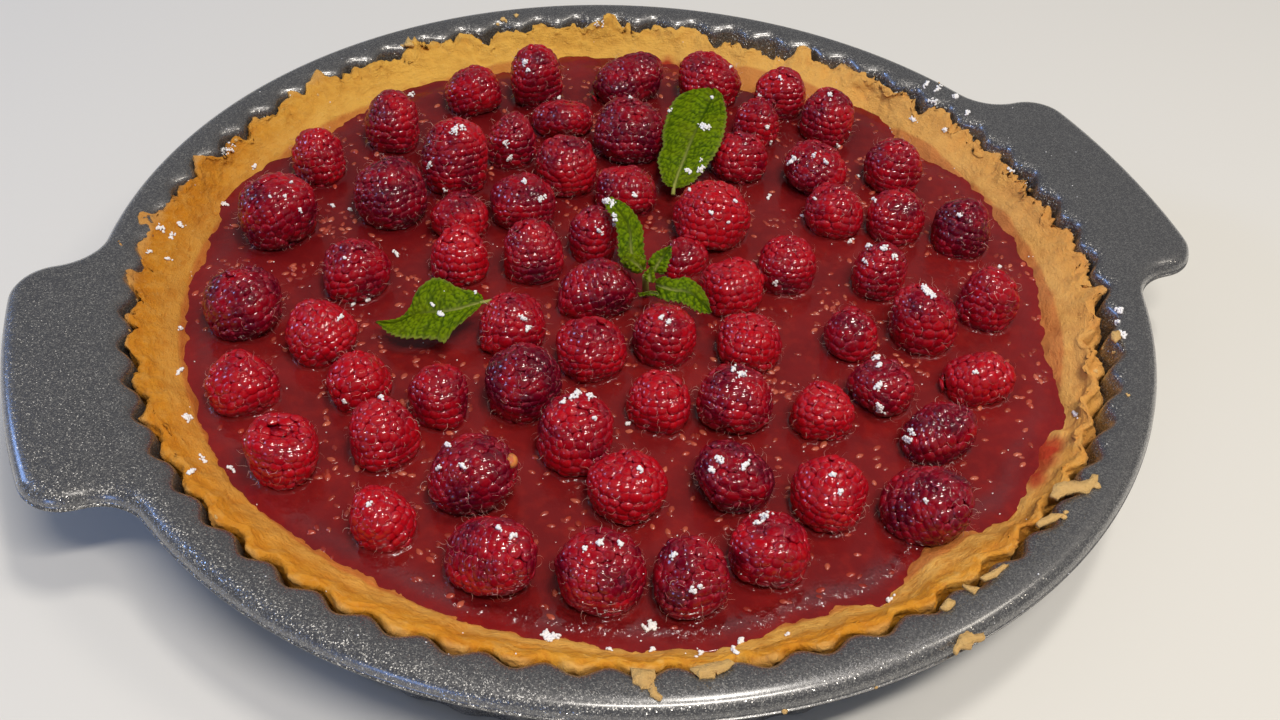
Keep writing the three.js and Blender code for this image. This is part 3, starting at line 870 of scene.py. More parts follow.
def add_core(bm, outline, place):
    """The closed body behind the drupelets, with marks of its own."""
    drawn = len(bm.verts)
    inset = [Vector((max(0.0, p.x - DOME[2] * 0.42), p.y * 0.92)) for p in outline[::5]]
    core = turned(inset, 14)
    bmesh.ops.transform(core, matrix=place, verts=core.verts)
    body = small_shape(core)
    bm.from_mesh(body)
    bpy.data.meshes.remove(body)
    skin_layer = bm.verts.layers.float_color["skin"]
    bm.verts.ensure_lookup_table()
    for vert in bm.verts[drawn:]:
        vert[skin_layer] = (1, 0.6, 0.3, 0)


# %% [markdown]
# ### Wet berry skin
# A ripe drupelet is a bag of juice: deep crimson, brighter where light gets through, with a paler down in
# the creases, which is partly a painted sheen of light on the hairs. Some berries are riper and darker than
# others. Real light travels inside it, but overlapping domes confuse strong subsurface scattering, so a little
# of it is used and the rest of the glow is mixed into the colour from the stored numbers. The berries are wet
# in patches only: a noise says where the clear coat lies, and there it draws small sharp glints.

# %% Berry finish
berry_skin = Finish("berry_skin")
place = berry_skin.place()
crown, ripe, tone, unripe = berry_skin.stored("skin")
blush = berry_skin.step(berry_skin.noise(place, 10, 2) + ripe * 0.10 + tone * 0.40, 0.42, 0.98)
red = berry_skin.mix(blush, rgb(0.095, 0.0003, 0.010), rgb(0.45, 0.0030, 0.010))
red = berry_skin.mix(berry_skin.step(unripe, 0.4, 0.6), red, rgb(0.72, 0.27, 0.07))
# pale down in the creases, which is partly a painted sheen of light on the hairs
down_and_sheen = berry_skin.step(crown, 0.86, 0.76) * berry_skin.step(berry_skin.noise(place, 1.1, 3), 0.44, 0.62)
red = berry_skin.mix(down_and_sheen * 0.5, red, rgb(0.50, 0.045, 0.085))
berry_material = berry_skin.surface({
    "Base Color": red,
    "Roughness": 0.26 + berry_skin.noise(place, 1.6, 3) * 0.22,
    "IOR": 1.38,
    "Specular IOR Level": 0.1,
    "Coat Weight": berry_skin.step(berry_skin.noise(place, 1.8, 3), 0.40, 0.58) * 0.85,
    "Coat Roughness": 0.12,
    "Coat IOR": 1.75,
    "Subsurface Weight": 0.35,
    "Subsurface Radius": (1.0, 0.12, 0.12),
    "Subsurface Scale": 1.6 * MM,
    "Normal": berry_skin.bump(berry_skin.noise(place, 0.7, 3), 0.14, 0.6),
})

# %% [markdown]
# ### All the berries
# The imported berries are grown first, one piece each. One of them lies with its open end up, so its outline
# runs over a rim and down into a hollow. The smaller berries, half hidden behind others, were left out of
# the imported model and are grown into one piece.

# %% Growing all the berries
DARK = {5, 8, 11, 15, 22, 25, 33, 35, 51, 54}
BRIGHT = {17, 18, 19, 20, 26, 28, 30, 31, 39, 41, 42, 44, 48, 52, 53}
CUP, CUP_CUT = "berry_42", 0.37            # the open one, and where it is cut off, as a share of its length
SMALL_BERRIES = [   # x, y, width, length, way the tip leans, lean
    (-18, 106, 19, 17, 110, 35), (-14, 73, 15, 20, 75, 10), (7, 84, 20, 13, 75, 30),
    (-39, 41, 18, 15, 75, 30), (13, 39, 19, 16, 70, 30), (82, 76, 17, 19, 65, 10),
    (68, 63, 15, 17, 65, 20), (54, 46, 18, 17, 70, 25), (72, 12, 18, 17, 65, 20),
    (-3, 20, 15, 19, 70, 10), (-63, -33, 16, 18, 75, 10), (20, 5, 13, 14, 70, 20),
    (53, -41, 15, 16, 65, 15),
]


def tone_of(number, chance):
    """How bright a berry is, 0 to 1."""
    if number in DARK:
        return chance.uniform(0.0, 0.15)
    if number in BRIGHT:
        return chance.uniform(0.85, 1.0)
    return chance.uniform(0.25, 0.60)


def cup_outline(width, length):
    """From the tip, which is sunk, up the outside, over the rim and down into the hollow."""
    outside = [point for point in thimble_outline(width, length) if point.y > -length * CUP_CUT]
    rim = outside[-1]
    inside = [(rim.x - 1.6, rim.y - 0.9), (rim.x - 3.2, rim.y - 0.7), (rim.x - 4.6, rim.y + 0.1),
              (rim.x - 5.8, rim.y + 0.6), (0.6, rim.y + 0.9), (0, rim.y + 0.9)]
    return outside + [Vector(point) for point in inside]


berry_total = 0
for name in sorted(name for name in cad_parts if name.startswith("berry_")):
    number = int(name[-2:])
    berry_place, width, length = packed_berry(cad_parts[name])
    outline = thimble_outline(width, length)
    if name == CUP:
        berry_place = berry_place @ Matrix.Rotation(math.pi, 4, "X")
        outline = cup_outline(width, length)
    grown = grow_berry(outline, berry_place, tone_of(number, random.Random(number)), number)
    berry = make_piece(name + "_ripe", grown, berry_material, [name])
    berry_total += triangles(berry)
print("packed berries:", berry_total, "triangles")

small = bmesh.new()
for number, row in enumerate(SMALL_BERRIES, start=60):
    berry_place, width, length = placed_berry(*row)
    one = small_shape(grow_berry(thimble_outline(width, length), berry_place, 0.5, number))
    small.from_mesh(one)
    bpy.data.meshes.remove(one)
small_berries = make_piece("berries_small", small, berry_material)
print("small berries:", triangles(small_berries), "triangles;", len(hair_roots), "drupelets in all")

# %% [markdown]
# ## The jam
# The jam is cooked fruit set to a soft gel, so its top is nearly level, creeps up a little where it touches
# a berry or the crust, and has a wrinkled ring near the front where it was spread last. A flat disc with a
# bump pattern would miss those edges, which catch the light. Here a fine square grid is pressed into a disc,
# and each point gets its height from slow noise, the wrinkled ring, and how near the closest berry is.

# %% Finding what lies under or beside a point
ABOVE_ALL = 80                             # mm
FOOT_HEIGHT, FOOT_BAND = JAM_LEVEL + 0.4, 0.9   # where a berry meets the jam, and how near that counts


def ray(start, way):
    """First thing met from start along way, both in mm: its place, normal and name."""
    graph = bpy.context.evaluated_depsgraph_get()
    hit, spot, normal, _, thing, _ = bpy.context.scene.ray_cast(graph, Vector(start) * MM, Vector(way))
    return (spot / MM, normal, thing.name) if hit else None


def drop(x, y):
    """What lies highest at x and y."""
    return ray((x, y, ABOVE_ALL), (0, 0, -1))


berry_feet = []
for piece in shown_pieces():
    if piece.name.endswith("_ripe") or piece.name == "berries_small":
        spots = [vert.co / MM for vert in piece.data.vertices]
        berry_feet += [spot for spot in spots if abs(spot.z - FOOT_HEIGHT) < FOOT_BAND]
feet = KDTree(len(berry_feet))
for i, foot in enumerate(berry_feet):
    feet.insert((foot.x, foot.y, 0), i)
feet.balance()
print(len(berry_feet), "points of berries near the surface of the jam")

# %% Pressing a grid into a disc of jam
JAM_CELLS = 300
JAM_REACH = JAM_EDGE + 4.0                 # the disc runs a little way into the crust
JAM_FOOT, JAM_FLOOR = INNER_FOOT - 0.6, FLOOR_TOP + 0.3
RIPPLES = [
    (0, 0.15), (90, 0.1), (180, 0.25), (215, 0.4), (232, 0.9), (255, 1.0), (275, 1.0), (292, 0.9),
    (305, 0.4), (330, 0.1),
]
CREEP, CREEP_WIDTH = 0.40, 0.7             # how high the jam climbs a berry, and over what width, in mm


def ring_share(x, y):
    """1 in the middle of the wrinkled ring, which keeps its distance from the crust, 0 away from it."""
    crust_edge = JAM_EDGE - 0.8 * around(math.degrees(math.atan2(y, x)) % 360, INWARD)
    inward = crust_edge - math.hypot(x, y) + noise.noise(Vector((x, y, 0)) / 7) * 1.4
    return math.exp(-((inward - 3.4) / 2.6) ** 2)


def jam_height(x, y, away):
    """Height of the jam's surface, in mm, so far away from the closest berry."""
    radius = math.hypot(x, y)
    degrees = math.degrees(math.atan2(y, x)) % 360
    place = Vector((x, y, 0))
    height = JAM_LEVEL + noise.noise(place / 22) * 0.35 + noise.noise(place / 6) * 0.10
    height += noise.noise(place / 2.2) * 0.035
    ripple = ring_share(x, y) * (0.5 + 1.0 * noise.noise(place / 2.0))
    height += ripple * around(degrees, RIPPLES) * 0.36
    height += 0.3 * smooth_share(radius, JAM_EDGE - 2.2, JAM_EDGE + 1.2)
    creep = CREEP * (1 + noise.noise(place / 1.7))
    return height + creep * math.exp(-((away / CREEP_WIDTH) ** 1.2))


def wrinkled(x, y):
    """How wrinkled the skin of the jam is, 0 to 1: most on the ring near the front."""
    return min(1.0, ring_share(x, y) * around(math.degrees(math.atan2(y, x)) % 360, RIPPLES))


# %% The disc of jam
jam_mesh = bmesh.new()
skin_layer = jam_mesh.verts.layers.float_color.new("wrinkle")
bmesh.ops.create_grid(jam_mesh, x_segments=JAM_CELLS, y_segments=JAM_CELLS, size=1)
for vert in jam_mesh.verts:
    x, y = vert.co.x, vert.co.y
    vert.co.x = x * math.sqrt(1 - y * y / 2) * JAM_REACH
    vert.co.y = y * math.sqrt(1 - x * x / 2) * JAM_REACH
    away = feet.find((vert.co.x, vert.co.y, 0))[2]
    vert.co.z = jam_height(vert.co.x, vert.co.y, away)
    # nearness to the berries, close and over a wider reach; both darken the jam as painted shade, and the
    # close one also marks their feet
    beside, crowd_shade = math.exp(-away / 3.0), math.exp(-away / 9.0)
    vert[skin_layer] = (wrinkled(vert.co.x, vert.co.y), beside, crowd_shade, 1)
rim = [edge for edge in jam_mesh.edges if edge.is_boundary]
skirt = bmesh.ops.extrude_edge_only(jam_mesh, edges=rim)["geom"]
lower = [part for part in skirt if isinstance(part, bmesh.types.BMVert)]
for vert in lower:
    vert.co.x *= JAM_FOOT / JAM_REACH
    vert.co.y *= JAM_FOOT / JAM_REACH
    vert.co.z = JAM_FLOOR
bmesh.ops.holes_fill(jam_mesh, edges=[edge for edge in jam_mesh.edges if edge.is_boundary], sides=0)
bmesh.ops.recalc_face_normals(jam_mesh, faces=jam_mesh.faces)
print("the disc of jam has", len(jam_mesh.verts), "points")

# %% [markdown]
# ### Set jam
# Raspberry jam is dark and only a little see-through: what shows is deep red with cloudier patches under a
# wet skin. Painted shade darkens it round the berries, and most of all where they are crowded at the back.
# Glass with a red volume would be truer and far slower, and would not survive an export, so a glossy finish
# with a slow change of colour stands for it. On the wrinkled ring and at the berries' feet lies a film of
# syrup: a clear coat over a stronger bump, which breaks a lamp up into many small glints.

# %% Jam finish
jam_finish = Finish("jam_set")
place = jam_finish.place()
cloudy = jam_finish.step(jam_finish.noise(place, 17, 3), 0.3, 0.75)
pulp = jam_finish.step(jam_finish.noise(place, 3.2, 4), 0.42, 0.72)
jam_red = jam_finish.mix(cloudy, rgb(0.170, 0.0090, 0.0100), rgb(0.235, 0.0125, 0.0130))
jam_red = jam_finish.mix(pulp * 0.35, jam_red, rgb(0.33, 0.018, 0.012))
wrinkle, beside, crowd_shade, _ = jam_finish.stored("wrinkle")
# painted shade where the berries are crowded at the back
back = jam_finish.step(jam_finish.axis(place, 1), -0.01, 0.07)
jam_red = jam_finish.mix(back * crowd_shade * 0.75, jam_red, rgb(0.080, 0.0020, 0.0045))
# painted shade round each berry
jam_red = jam_finish.mix(beside * 0.35, jam_red, rgb(0.100, 0.0025, 0.0050))
jam_red = jam_finish.mix(wrinkle * 0.5, jam_red, rgb(0.110, 0.0030, 0.0055))
foot = jam_finish.step(beside, 0.70, 0.92)
skin = jam_finish.noise(place, 1.5, 3) * 0.10 + wrinkle * jam_finish.noise(place, 1.7, 1, 0.4)
skin = skin + foot * jam_finish.noise(place, 1.5, 1) * 0.35
jam_material = jam_finish.surface({
    "Base Color": jam_red,
    "Roughness": 0.07 + jam_finish.noise(place, 8, 3) * 0.07,
    "IOR": 1.40,
    "Coat Weight": wrinkle + foot * 0.4,
    "Coat Roughness": 0.05,
    "Coat IOR": 2.2,
    "Subsurface Weight": 0.3,
    "Subsurface Radius": (1.0, 0.08, 0.08),
    "Subsurface Scale": 2.0 * MM,
    "Normal": jam_finish.bump(skin, 1.0, 1.0),
})
jam = make_piece("jam_set", jam_mesh, jam_material, ["filling"])
print("jam:", triangles(jam), "triangles")

# %% [markdown]
# ## Seeds in the jam
# Crushed raspberries leave hundreds of small pale seeds, drops about two millimetres long, lying flat near
# the surface, some bare and some under a film of jam. Particles would vanish on export, so one low seed is
# made and copied into a single mesh. How deep a seed lies is stored with its points, and the finish turns
# deep ones towards the jam's red.

# %% One seed, and where the seeds lie
SEED_COUNT, SEED_LENGTH, SEED_WIDTH, SEED_HEIGHT = 1000, 2.85, 1.7, 0.9
CLUSTERS, CLUSTER_SHARE, CLUSTER_SPREAD = 110, 0.4, 3.0
SEED_REACH = JAM_EDGE - 1.5
seed_shape = bmesh.new()
bmesh.ops.create_uvsphere(seed_shape, u_segments=8, v_segments=6, radius=0.5)
for vert in seed_shape.verts:
    vert.co.y *= 1 - 0.55 * max(0.0, vert.co.x / 0.5) ** 1.4
seed_shape = small_shape(seed_shape)
chance = random.Random(11)
clusters = [(chance.uniform(-118, 118), chance.uniform(-118, 118)) for _ in range(CLUSTERS)]
stands, marks = [], []
while len(stands) < SEED_COUNT:
    if chance.random() < CLUSTER_SHARE:
        middle = chance.choice(clusters)
        x, y = middle[0] + chance.gauss(0, CLUSTER_SPREAD), middle[1] + chance.gauss(0, CLUSTER_SPREAD)
    else:
        x, y = chance.uniform(-121, 121), chance.uniform(-121, 121)
    if math.hypot(x, y) > SEED_REACH:
        continue
    under = drop(x, y)
    if under is None or under[2] != "jam_set":
        continue
    deep = chance.random()
    lean = Vector((chance.uniform(-0.25, 0.25), chance.uniform(-0.25, 0.25), 0))
    size = chance.uniform(0.8, 1.12)
    sizes = (SEED_LENGTH * size, SEED_WIDTH * size, SEED_HEIGHT)
    spot = under[0] - Vector((0, 0, 0.10 + 0.2 * deep))
    stands.append(stand_on(spot, (under[1] + lean).normalized(), chance.uniform(0, 7), sizes))
    marks.append((deep, chance.random(), 0))
print("seeds placed:", len(stands))

# %% Seed coat
seed_finish = Finish("seed_coat")
_, depth, kind, _ = seed_finish.stored("seed")
grain = seed_finish.noise(seed_finish.place(), 0.6, 2)
bare = seed_finish.mix(kind, rgb(0.44, 0.045, 0.026), rgb(0.62, 0.15, 0.085))
seed_colour = seed_finish.mix(seed_finish.step(depth, 0.05, 0.75), bare, rgb(0.26, 0.017, 0.014))
seed_material = seed_finish.surface({
    "Base Color": seed_finish.mix(grain * 0.3, seed_colour, rgb(0.30, 0.07, 0.03)),
    "Roughness": 0.24,
    "Coat Weight": 0.4,
    "Coat Roughness": 0.06,
    "Normal": seed_finish.bump(grain, 0.05, 0.5),
})
seeds = make_piece("seeds", joined(seed_shape, stands, marks, "seed"), seed_material)
print("seeds:", triangles(seeds), "triangles")

# %% [markdown]
# ## Hairs of the berries
# Each drupelet carries the dried style of its flower, a fine pale hair that curls over the berry. Blender's
# hair curves would be the editor's way, but only mesh is exported, so one hair is a thin three-sided tube,
# bent by a formula, and its copies stand on a share of the drupelets.

# %% One hair and its copies
HAIR_SHARE, HAIR_LENGTH, HAIR_THICKNESS = 0.42, 3.0, 0.115
HAIR_JOINTS = 5
hair_shape = bmesh.new()
bmesh.ops.create_circle(hair_shape, segments=3, radius=HAIR_THICKNESS / HAIR_LENGTH / 2)
edges = hair_shape.edges[:]
for _ in range(HAIR_JOINTS):
    grown = bmesh.ops.extrude_edge_only(hair_shape, edges=edges)["geom"]
    edges = [part for part in grown if isinstance(part, bmesh.types.BMEdge) and part.is_boundary]
    verts = [part for part in grown if isinstance(part, bmesh.types.BMVert)]
    bmesh.ops.translate(hair_shape, vec=(0, 0, 1 / HAIR_JOINTS), verts=verts)
bmesh.ops.holes_fill(hair_shape, edges=[edge for edge in hair_shape.edges if edge.is_boundary], sides=0)
bmesh.ops.recalc_face_normals(hair_shape, faces=hair_shape.faces)
for vert in hair_shape.verts:
    rise = vert.co.z
    thin = 1 - 0.5 * rise
    vert.co.x = vert.co.x * thin + 0.75 * rise ** 1.6
    vert.co.y = vert.co.y * thin + 0.16 * math.sin(5 * rise)
    vert.co.z = 0.55 * math.sin(math.pi * rise * 0.62)
hair_shape = small_shape(hair_shape)
chance = random.Random(5)
stands, marks = [], []
for root, way in hair_roots:
    if chance.random() > HAIR_SHARE:
        continue
    size = HAIR_LENGTH * chance.uniform(0.5, 1.15)
    lean = (way + Vector([chance.uniform(-0.6, 0.6) for _ in range(3)])).normalized()
    stands.append(stand_on(root - way * 0.25, lean, chance.uniform(0, 7), (size, size, size)))
    marks.append((chance.random(), 0, 0))
hair_finish = Finish("berry_hair")
_, pale, _, _ = hair_finish.stored("hair")
hair_material = hair_finish.surface({
    "Base Color": hair_finish.mix(pale, rgb(0.60, 0.20, 0.16), rgb(0.85, 0.60, 0.50)),
    "Roughness": 0.45,
})
hairs = make_piece("berry_hairs", joined(hair_shape, stands, marks, "hair"), hair_material)
print("hairs:", len(stands), "with", triangles(hairs), "triangles")

# %% [markdown]
# ## Mint
# A mint leaf is a soft blade with a saw-toothed edge, a sunken midrib, and blisters between its side veins.
# It could be cut from a plane with a picture of a leaf, but its edge and blisters are what make it mint, so
# each blade is a grid laid through ribs: at each rib the leaf's left edge, its midrib and its right edge are
# given as points, and smooth curves run through them from stalk to tip. Then the blade gets its teeth, and
# its blisters are raised along its own normals. Vein, edge and blister shares are stored for the colour, and
# the blister share paints a highlight on each blister and shade in the hollows between them.

# %% One leaf
LEAF_THICKNESS, BLISTER, TOOTH = 0.3, 0.7, 0.7   # mm


def ribs_at(ribs, along):
    """Left edge, midrib and right edge at a share of the leaf's length, on curves through the ribs."""
    goal = along * (len(ribs) - 1)
    i = min(int(goal), len(ribs) - 2)
    t = goal - i
    rows = [ribs[max(0, i - 1)], ribs[i], ribs[i + 1], ribs[min(len(ribs) - 1, i + 2)]]
    points = []
    for a, b, c, d in zip(*rows):
        a, b, c, d = Vector(a), Vector(b), Vector(c), Vector(d)
        curve = b * 2 + (c - a) * t + (a * 2 - b * 5 + c * 4 - d) * t ** 2 + (b * 3 - a - c * 3 + d) * t ** 3
        points.append(curve / 2)
    return points


def leaf_mesh(ribs, teeth, seed, rows, columns):
    """A toothed and blistered blade through ribs of three points each, from stalk to tip."""
    bm = bmesh.new()
    vein_layer = bm.verts.layers.float_color.new("vein")
    bmesh.ops.create_grid(bm, x_segments=columns, y_segments=rows, size=1)
    shares = {}
    for vert in bm.verts:
        across, along = vert.co.x, (vert.co.y + 1) / 2
        left, middle, right = ribs_at(ribs, along)
        edge = left if across < 0 else right
        half = (edge - middle).length
        tooth = (along * teeth + 0.3 * noise.noise(Vector((along * 9, seed, across)))) % 1.0
        reach = abs(across) + TOOTH * (tooth - 0.5) / max(1.0, half) * smooth_share(abs(across), 0.7, 1.0)
        vert.co = middle.lerp(edge, reach)
        vert.co.z += 0.35 * half * reach * (1 - reach)
        shares[vert] = (abs(across), along, abs(across) * half)
    bm.normal_update()
    if sum(vert.normal.z for vert in bm.verts) < 0:
        bmesh.ops.reverse_faces(bm, faces=bm.faces[:])
        bm.normal_update()
    for vert in bm.verts:
        across, along, away = shares[vert]
        vein_place = (along - 0.10 * across) * (teeth * 0.55)
        vein = math.exp(-((vein_place - round(vein_place)) / 0.09) ** 2)
        midrib = math.exp(-(away / 0.38) ** 2)
        quilt, _ = noise.voronoi(vert.co / 1.35 + noise.noise_vector(vert.co / 1.5) * 0.25)
        pillow = min(1.0, (quilt[1] - quilt[0]) * 1.9)
        pillow = math.sqrt(pillow) * (1 - 0.7 * vein) * (1 - midrib) + 0.25 * noise.noise(vert.co / 0.7)
        vert.co += vert.normal * BLISTER * (pillow - 0.5) * smooth_share(1 - across, 0.0, 0.15)
        shown_rib = midrib * smooth_share(1 - along, 0.35, 0.85)
        edge = smooth_share(across, 0.88, 1.0)
        # the blister share is kept for a painted highlight on the blisters and painted shade between them
        vert[vein_layer] = (shown_rib, edge, min(1.0, max(0.0, pillow)), 1.0)
    bm.normal_update()
    ways = {tuple(vert.co): vert.normal.copy() for vert in bm.verts}
    grown = bmesh.ops.extrude_face_region(bm, geom=bm.faces[:])["geom"]
    for vert in [part for part in grown if isinstance(part, bmesh.types.BMVert)]:
        vert.co -= ways[tuple(vert.co)] * LEAF_THICKNESS
    bmesh.ops.recalc_face_normals(bm, faces=bm.faces)
    return small_shape(bm)


def stem_mesh(low, high, radius):
    """A short round stalk between two points."""
    bm = bmesh.new()
    way = Vector(high) - Vector(low)
    bmesh.ops.create_cone(
        bm, cap_ends=True, segments=10, radius1=radius, radius2=radius * 0.8, depth=way.length,
    )
    bmesh.ops.bevel(
        bm, geom=bm.edges[:], offset=radius * 0.2, affect="EDGES", segments=1, profile=0.5, material=-1,
    )
    place = stand_on((Vector(low) + Vector(high)) / 2, way, 0, (1, 1, 1))
    bmesh.ops.transform(bm, matrix=place, verts=bm.verts)
    return small_shape(bm)


# %% Mint finish
mint_finish = Finish("mint_leaf")
place = mint_finish.place()
vein, edge, swell, _ = mint_finish.stored("vein")
# painted highlight on the blisters and painted shade in the hollows between them
blister_light_and_shade = mint_finish.step(swell, 0.05, 0.9)
green = mint_finish.mix(blister_light_and_shade, rgb(0.030, 0.062, 0.0008), rgb(0.140, 0.220, 0.0015))
patch = mint_finish.step(mint_finish.noise(place, 8, 2), 0.35, 0.7)
green = mint_finish.mix(patch * 0.3, green, rgb(0.16, 0.18, 0.001))
green = mint_finish.mix(vein * 0.75, green, rgb(0.34, 0.36, 0.09))
green = mint_finish.mix(edge * 0.3, green, rgb(0.36, 0.34, 0.10))
mint_material = mint_finish.surface({
    "Base Color": green,
    "Roughness": 0.5,
    "Specular IOR Level": 0.05,
    "Normal": mint_finish.bump(mint_finish.noise(place, 0.5, 3), 0.10, 0.6),
})

# %% The three pieces of mint
# Each leaf: its ribs from stalk to tip, as (left edge, midrib, right edge) points in mm; then its teeth, its
# seed for chance, and the rows and columns of its grid.
BACK_LEAF = [([
    ((26.8, 36.3, 30.5), (28.1, 35.5, 30.5), (30.3, 34.9, 30.5)),
    ((25.5, 38.5, 31.2), (29.2, 37.3, 31.6), (34.1, 35.4, 31.4)),
    ((25.8, 42.9, 32.4), (31.8, 40.9, 33.2), (37.7, 37.3, 33)),
    ((26.9, 47.8, 33.7), (34.6, 44.3, 34.9), (40.8, 39.4, 34.6)),
    ((30.1, 52.2, 35), (37.6, 48.3, 36.5), (44.5, 42.3, 36.2)),
    ((31.1, 56.1, 36.5), (40.7, 51.9, 38.1), (47.9, 46.2, 37.8)),
    ((33.4, 60, 38.1), (43.7, 55.3, 39.6), (50.3, 50.1, 39.3)),
    ((36.4, 64.6, 39.8), (47.2, 59.2, 41), (52.6, 54.8, 40.7)),
    ((39.9, 67.7, 41.2), (50, 62.6, 42), (53.7, 59.9, 41.8)),
    ((44.5, 69, 42.3), (52, 64.8, 42.7), (54.2, 63.6, 42.6)),
    ((51.3, 68.1, 43), (52, 67.2, 43), (53.4, 66.3, 43))], 26, 1, 96, 44)]
LEFT_LEAF = [([
    ((-43.3, -2.8, 35), (-43.3, -4.6, 34.5), (-45.1, -6.4, 34)),
    ((-44.7, -0.8, 35.5), (-45.6, -4.9, 34.5), (-48, -8.2, 33.5)),
    ((-48.9, 0.6, 36.5), (-49.9, -5.2, 34.2), (-53.4, -11.6, 32.8)),
    ((-51.8, 4.3, 37), (-54.1, -4.6, 33.8), (-56.9, -15.1, 32)),
    ((-54.6, 6.3, 37), (-57.4, -3.5, 33.3), (-59.4, -12.6, 31.5)),
    ((-58.7, 5.1, 36), (-60.4, -2.4, 32.8), (-63.2, -10.8, 31.2)),
    ((-61.3, 3, 34.5), (-62.6, -1.9, 32.3), (-66.8, -9.3, 31)),
    ((-63, 0.5, 33), (-64.7, -2.3, 31.5), (-69.3, -7.2, 30.8)),
    ((-66.8, -1.4, 31.5), (-68.5, -2.2, 30.8), (-71, -4.5, 30.4)),
    ((-72.5, 0.9, 30), (-72.6, 0.7, 30), (-72.6, 0.5, 30))], 17, 2, 80, 44)]
SPRIG_LEAVES = [
    ([
        ((1.3, -4.1, 33.6), (3, -5.1, 34), (4.7, -3.4, 34)),
        ((-1.5, -2, 35.4), (1.4, -3.6, 36), (5.6, -1.6, 35.6)),
        ((-2.2, 0.6, 37.4), (1.4, -0.7, 38), (5.5, 0.4, 37.6)),
        ((-1.7, 2.8, 39.1), (1.9, 1.9, 39.7), (6.3, 3.4, 39.3)),
        ((-0.6, 6.8, 40.4), (2.9, 5.6, 41), (7.2, 7, 40.6)),
        ((-0.2, 10.9, 41.4), (3.2, 10, 42), (7, 10.9, 41.6)),
        ((-0.6, 14, 42.3), (2.3, 13.5, 42.8), (6.1, 14.3, 42.4)),
        ((-1.1, 16.2, 42.9), (1.5, 16.5, 43.2), (4.7, 17.1, 43)),
        ((0.3, 19.5, 43.5), (0.7, 19.9, 43.5), (1.9, 19.7, 43.5))], 15, 3, 64, 26),
    ([
        ((5.6, -9.8, 35), (4.8, -11.1, 34.5), (4.5, -13, 34)),
        ((7, -11.8, 37.5), (5.4, -15.4, 36.8), (3.6, -19.1, 36)),
        ((8.8, -15.2, 38.8), (7.4, -18.5, 37.8), (5.8, -21.6, 36.6)),
        ((12.1, -15.7, 39.2), (10.1, -20, 38), (8.1, -23, 36.6)),
        ((14.3, -18.1, 38.6), (12.1, -21.3, 37.4), (9.8, -23.9, 36)),
        ((15.8, -20.7, 37.2), (13.7, -23.2, 36.2), (11.3, -25.2, 35)),
        ((16.1, -23.8, 35.8), (15, -24.6, 35), (13.3, -26.1, 34.3)),
        ((15.9, -26.4, 34), (15.8, -26.5, 34), (15.6, -26.6, 34))], 12, 4, 56, 26),
    ([
        ((5.9, -3.6, 34.8), (6.4, -5.8, 34.5), (7.8, -7.6, 34.5)),
        ((5.2, -3.7, 36.6), (7.4, -5.3, 36), (9.1, -8, 35.6)),
        ((6.4, -2.9, 38), (8.8, -4.4, 37.4), (10.2, -7, 37)),
        ((8.3, -2.5, 39), (10.1, -3.9, 38.5), (11.4, -5.3, 38.2)),
        ((10.4, -2.5, 39.7), (11.3, -3.2, 39.4), (12, -4.3, 39.2)),
        ((12.3, -2.4, 40), (12.5, -2.3, 40), (12.6, -2.5, 40))], 8, 5, 36, 20),
    ([
        ((2, -6.9, 36), (2.8, -6.8, 36.3), (3.9, -5.8, 36.5)),
        ((-0.4, -7.7, 37.6), (1.3, -6.8, 38.6), (3.6, -5.6, 39)),
        ((-1.7, -7.1, 39), (-0.1, -6.5, 40), (2.2, -4.7, 40.4)),
        ((-2.4, -6.2, 40.2), (-1.3, -5.7, 40.9), (0.4, -4.2, 41.2)),
        ((-3.2, -5.9, 41), (-2.5, -5, 41.3), (-1.5, -4.2, 41.5)),
        ((-3.4, -5.6, 41.3), (-3.4, -5.5, 41.3), (-3.1, -5.2, 41.3))], 7, 6, 36, 18),
    ([
        ((2.2, -9.8, 35.8), (3.1, -11, 35.5), (4.7, -11.4, 35.5)),
        ((1.9, -9.4, 37), (3.4, -10, 36.8), (5.1, -10.5, 36.8)),
        ((2.9, -8.8, 38.2), (4, -8.9, 37.8), (5.2, -9.2, 37.8)),
        ((4.4, -8, 38.5), (4.8, -8, 38.5), (5, -8.2, 38.5))], 5, 7, 24, 16),
    ([
        ((3.7, -15.6, 35.8), (3.5, -16.7, 35.5), (3.5, -18, 35.2)),
        ((2.7, -13.9, 34.8), (2.7, -14.5, 34.6), (3.1, -15.9, 34.4)),
        ((1.1, -12.8, 33.9), (1.1, -13.5, 33.8), (1.5, -14, 33.6)),
        ((-0.5, -11.7, 33), (-0.5, -12.3, 33), (-0.5, -13, 33))], 6, 8, 28, 14),
]


def mint_piece(name, node, leaves, stem):
    """Leaves and the stalk that carries them, as one piece."""
    bm = bmesh.new()
    for shape in [leaf_mesh(*leaf) for leaf in leaves] + [stem_mesh(*stem)]:
        bm.from_mesh(shape)
    piece = make_piece(name, bm, mint_material, [node])
    print(name, "has", triangles(piece), "triangles")


mint_piece("mint_back_leaf", "mint_back", BACK_LEAF, ((27.2, 34.0, 29.0), (28.6, 37.0, 30.8), 0.7))
mint_piece("mint_left_leaf", "mint_left", LEFT_LEAF, ((-41.0, -4.4, 34.0), (-44.5, -4.8, 34.4), 0.6))
mint_piece("mint_sprig_leaves", "mint_sprig", SPRIG_LEAVES, ((4.8, -4.6, 25.5), (3.6, -6.2, 34.2), 1.1))

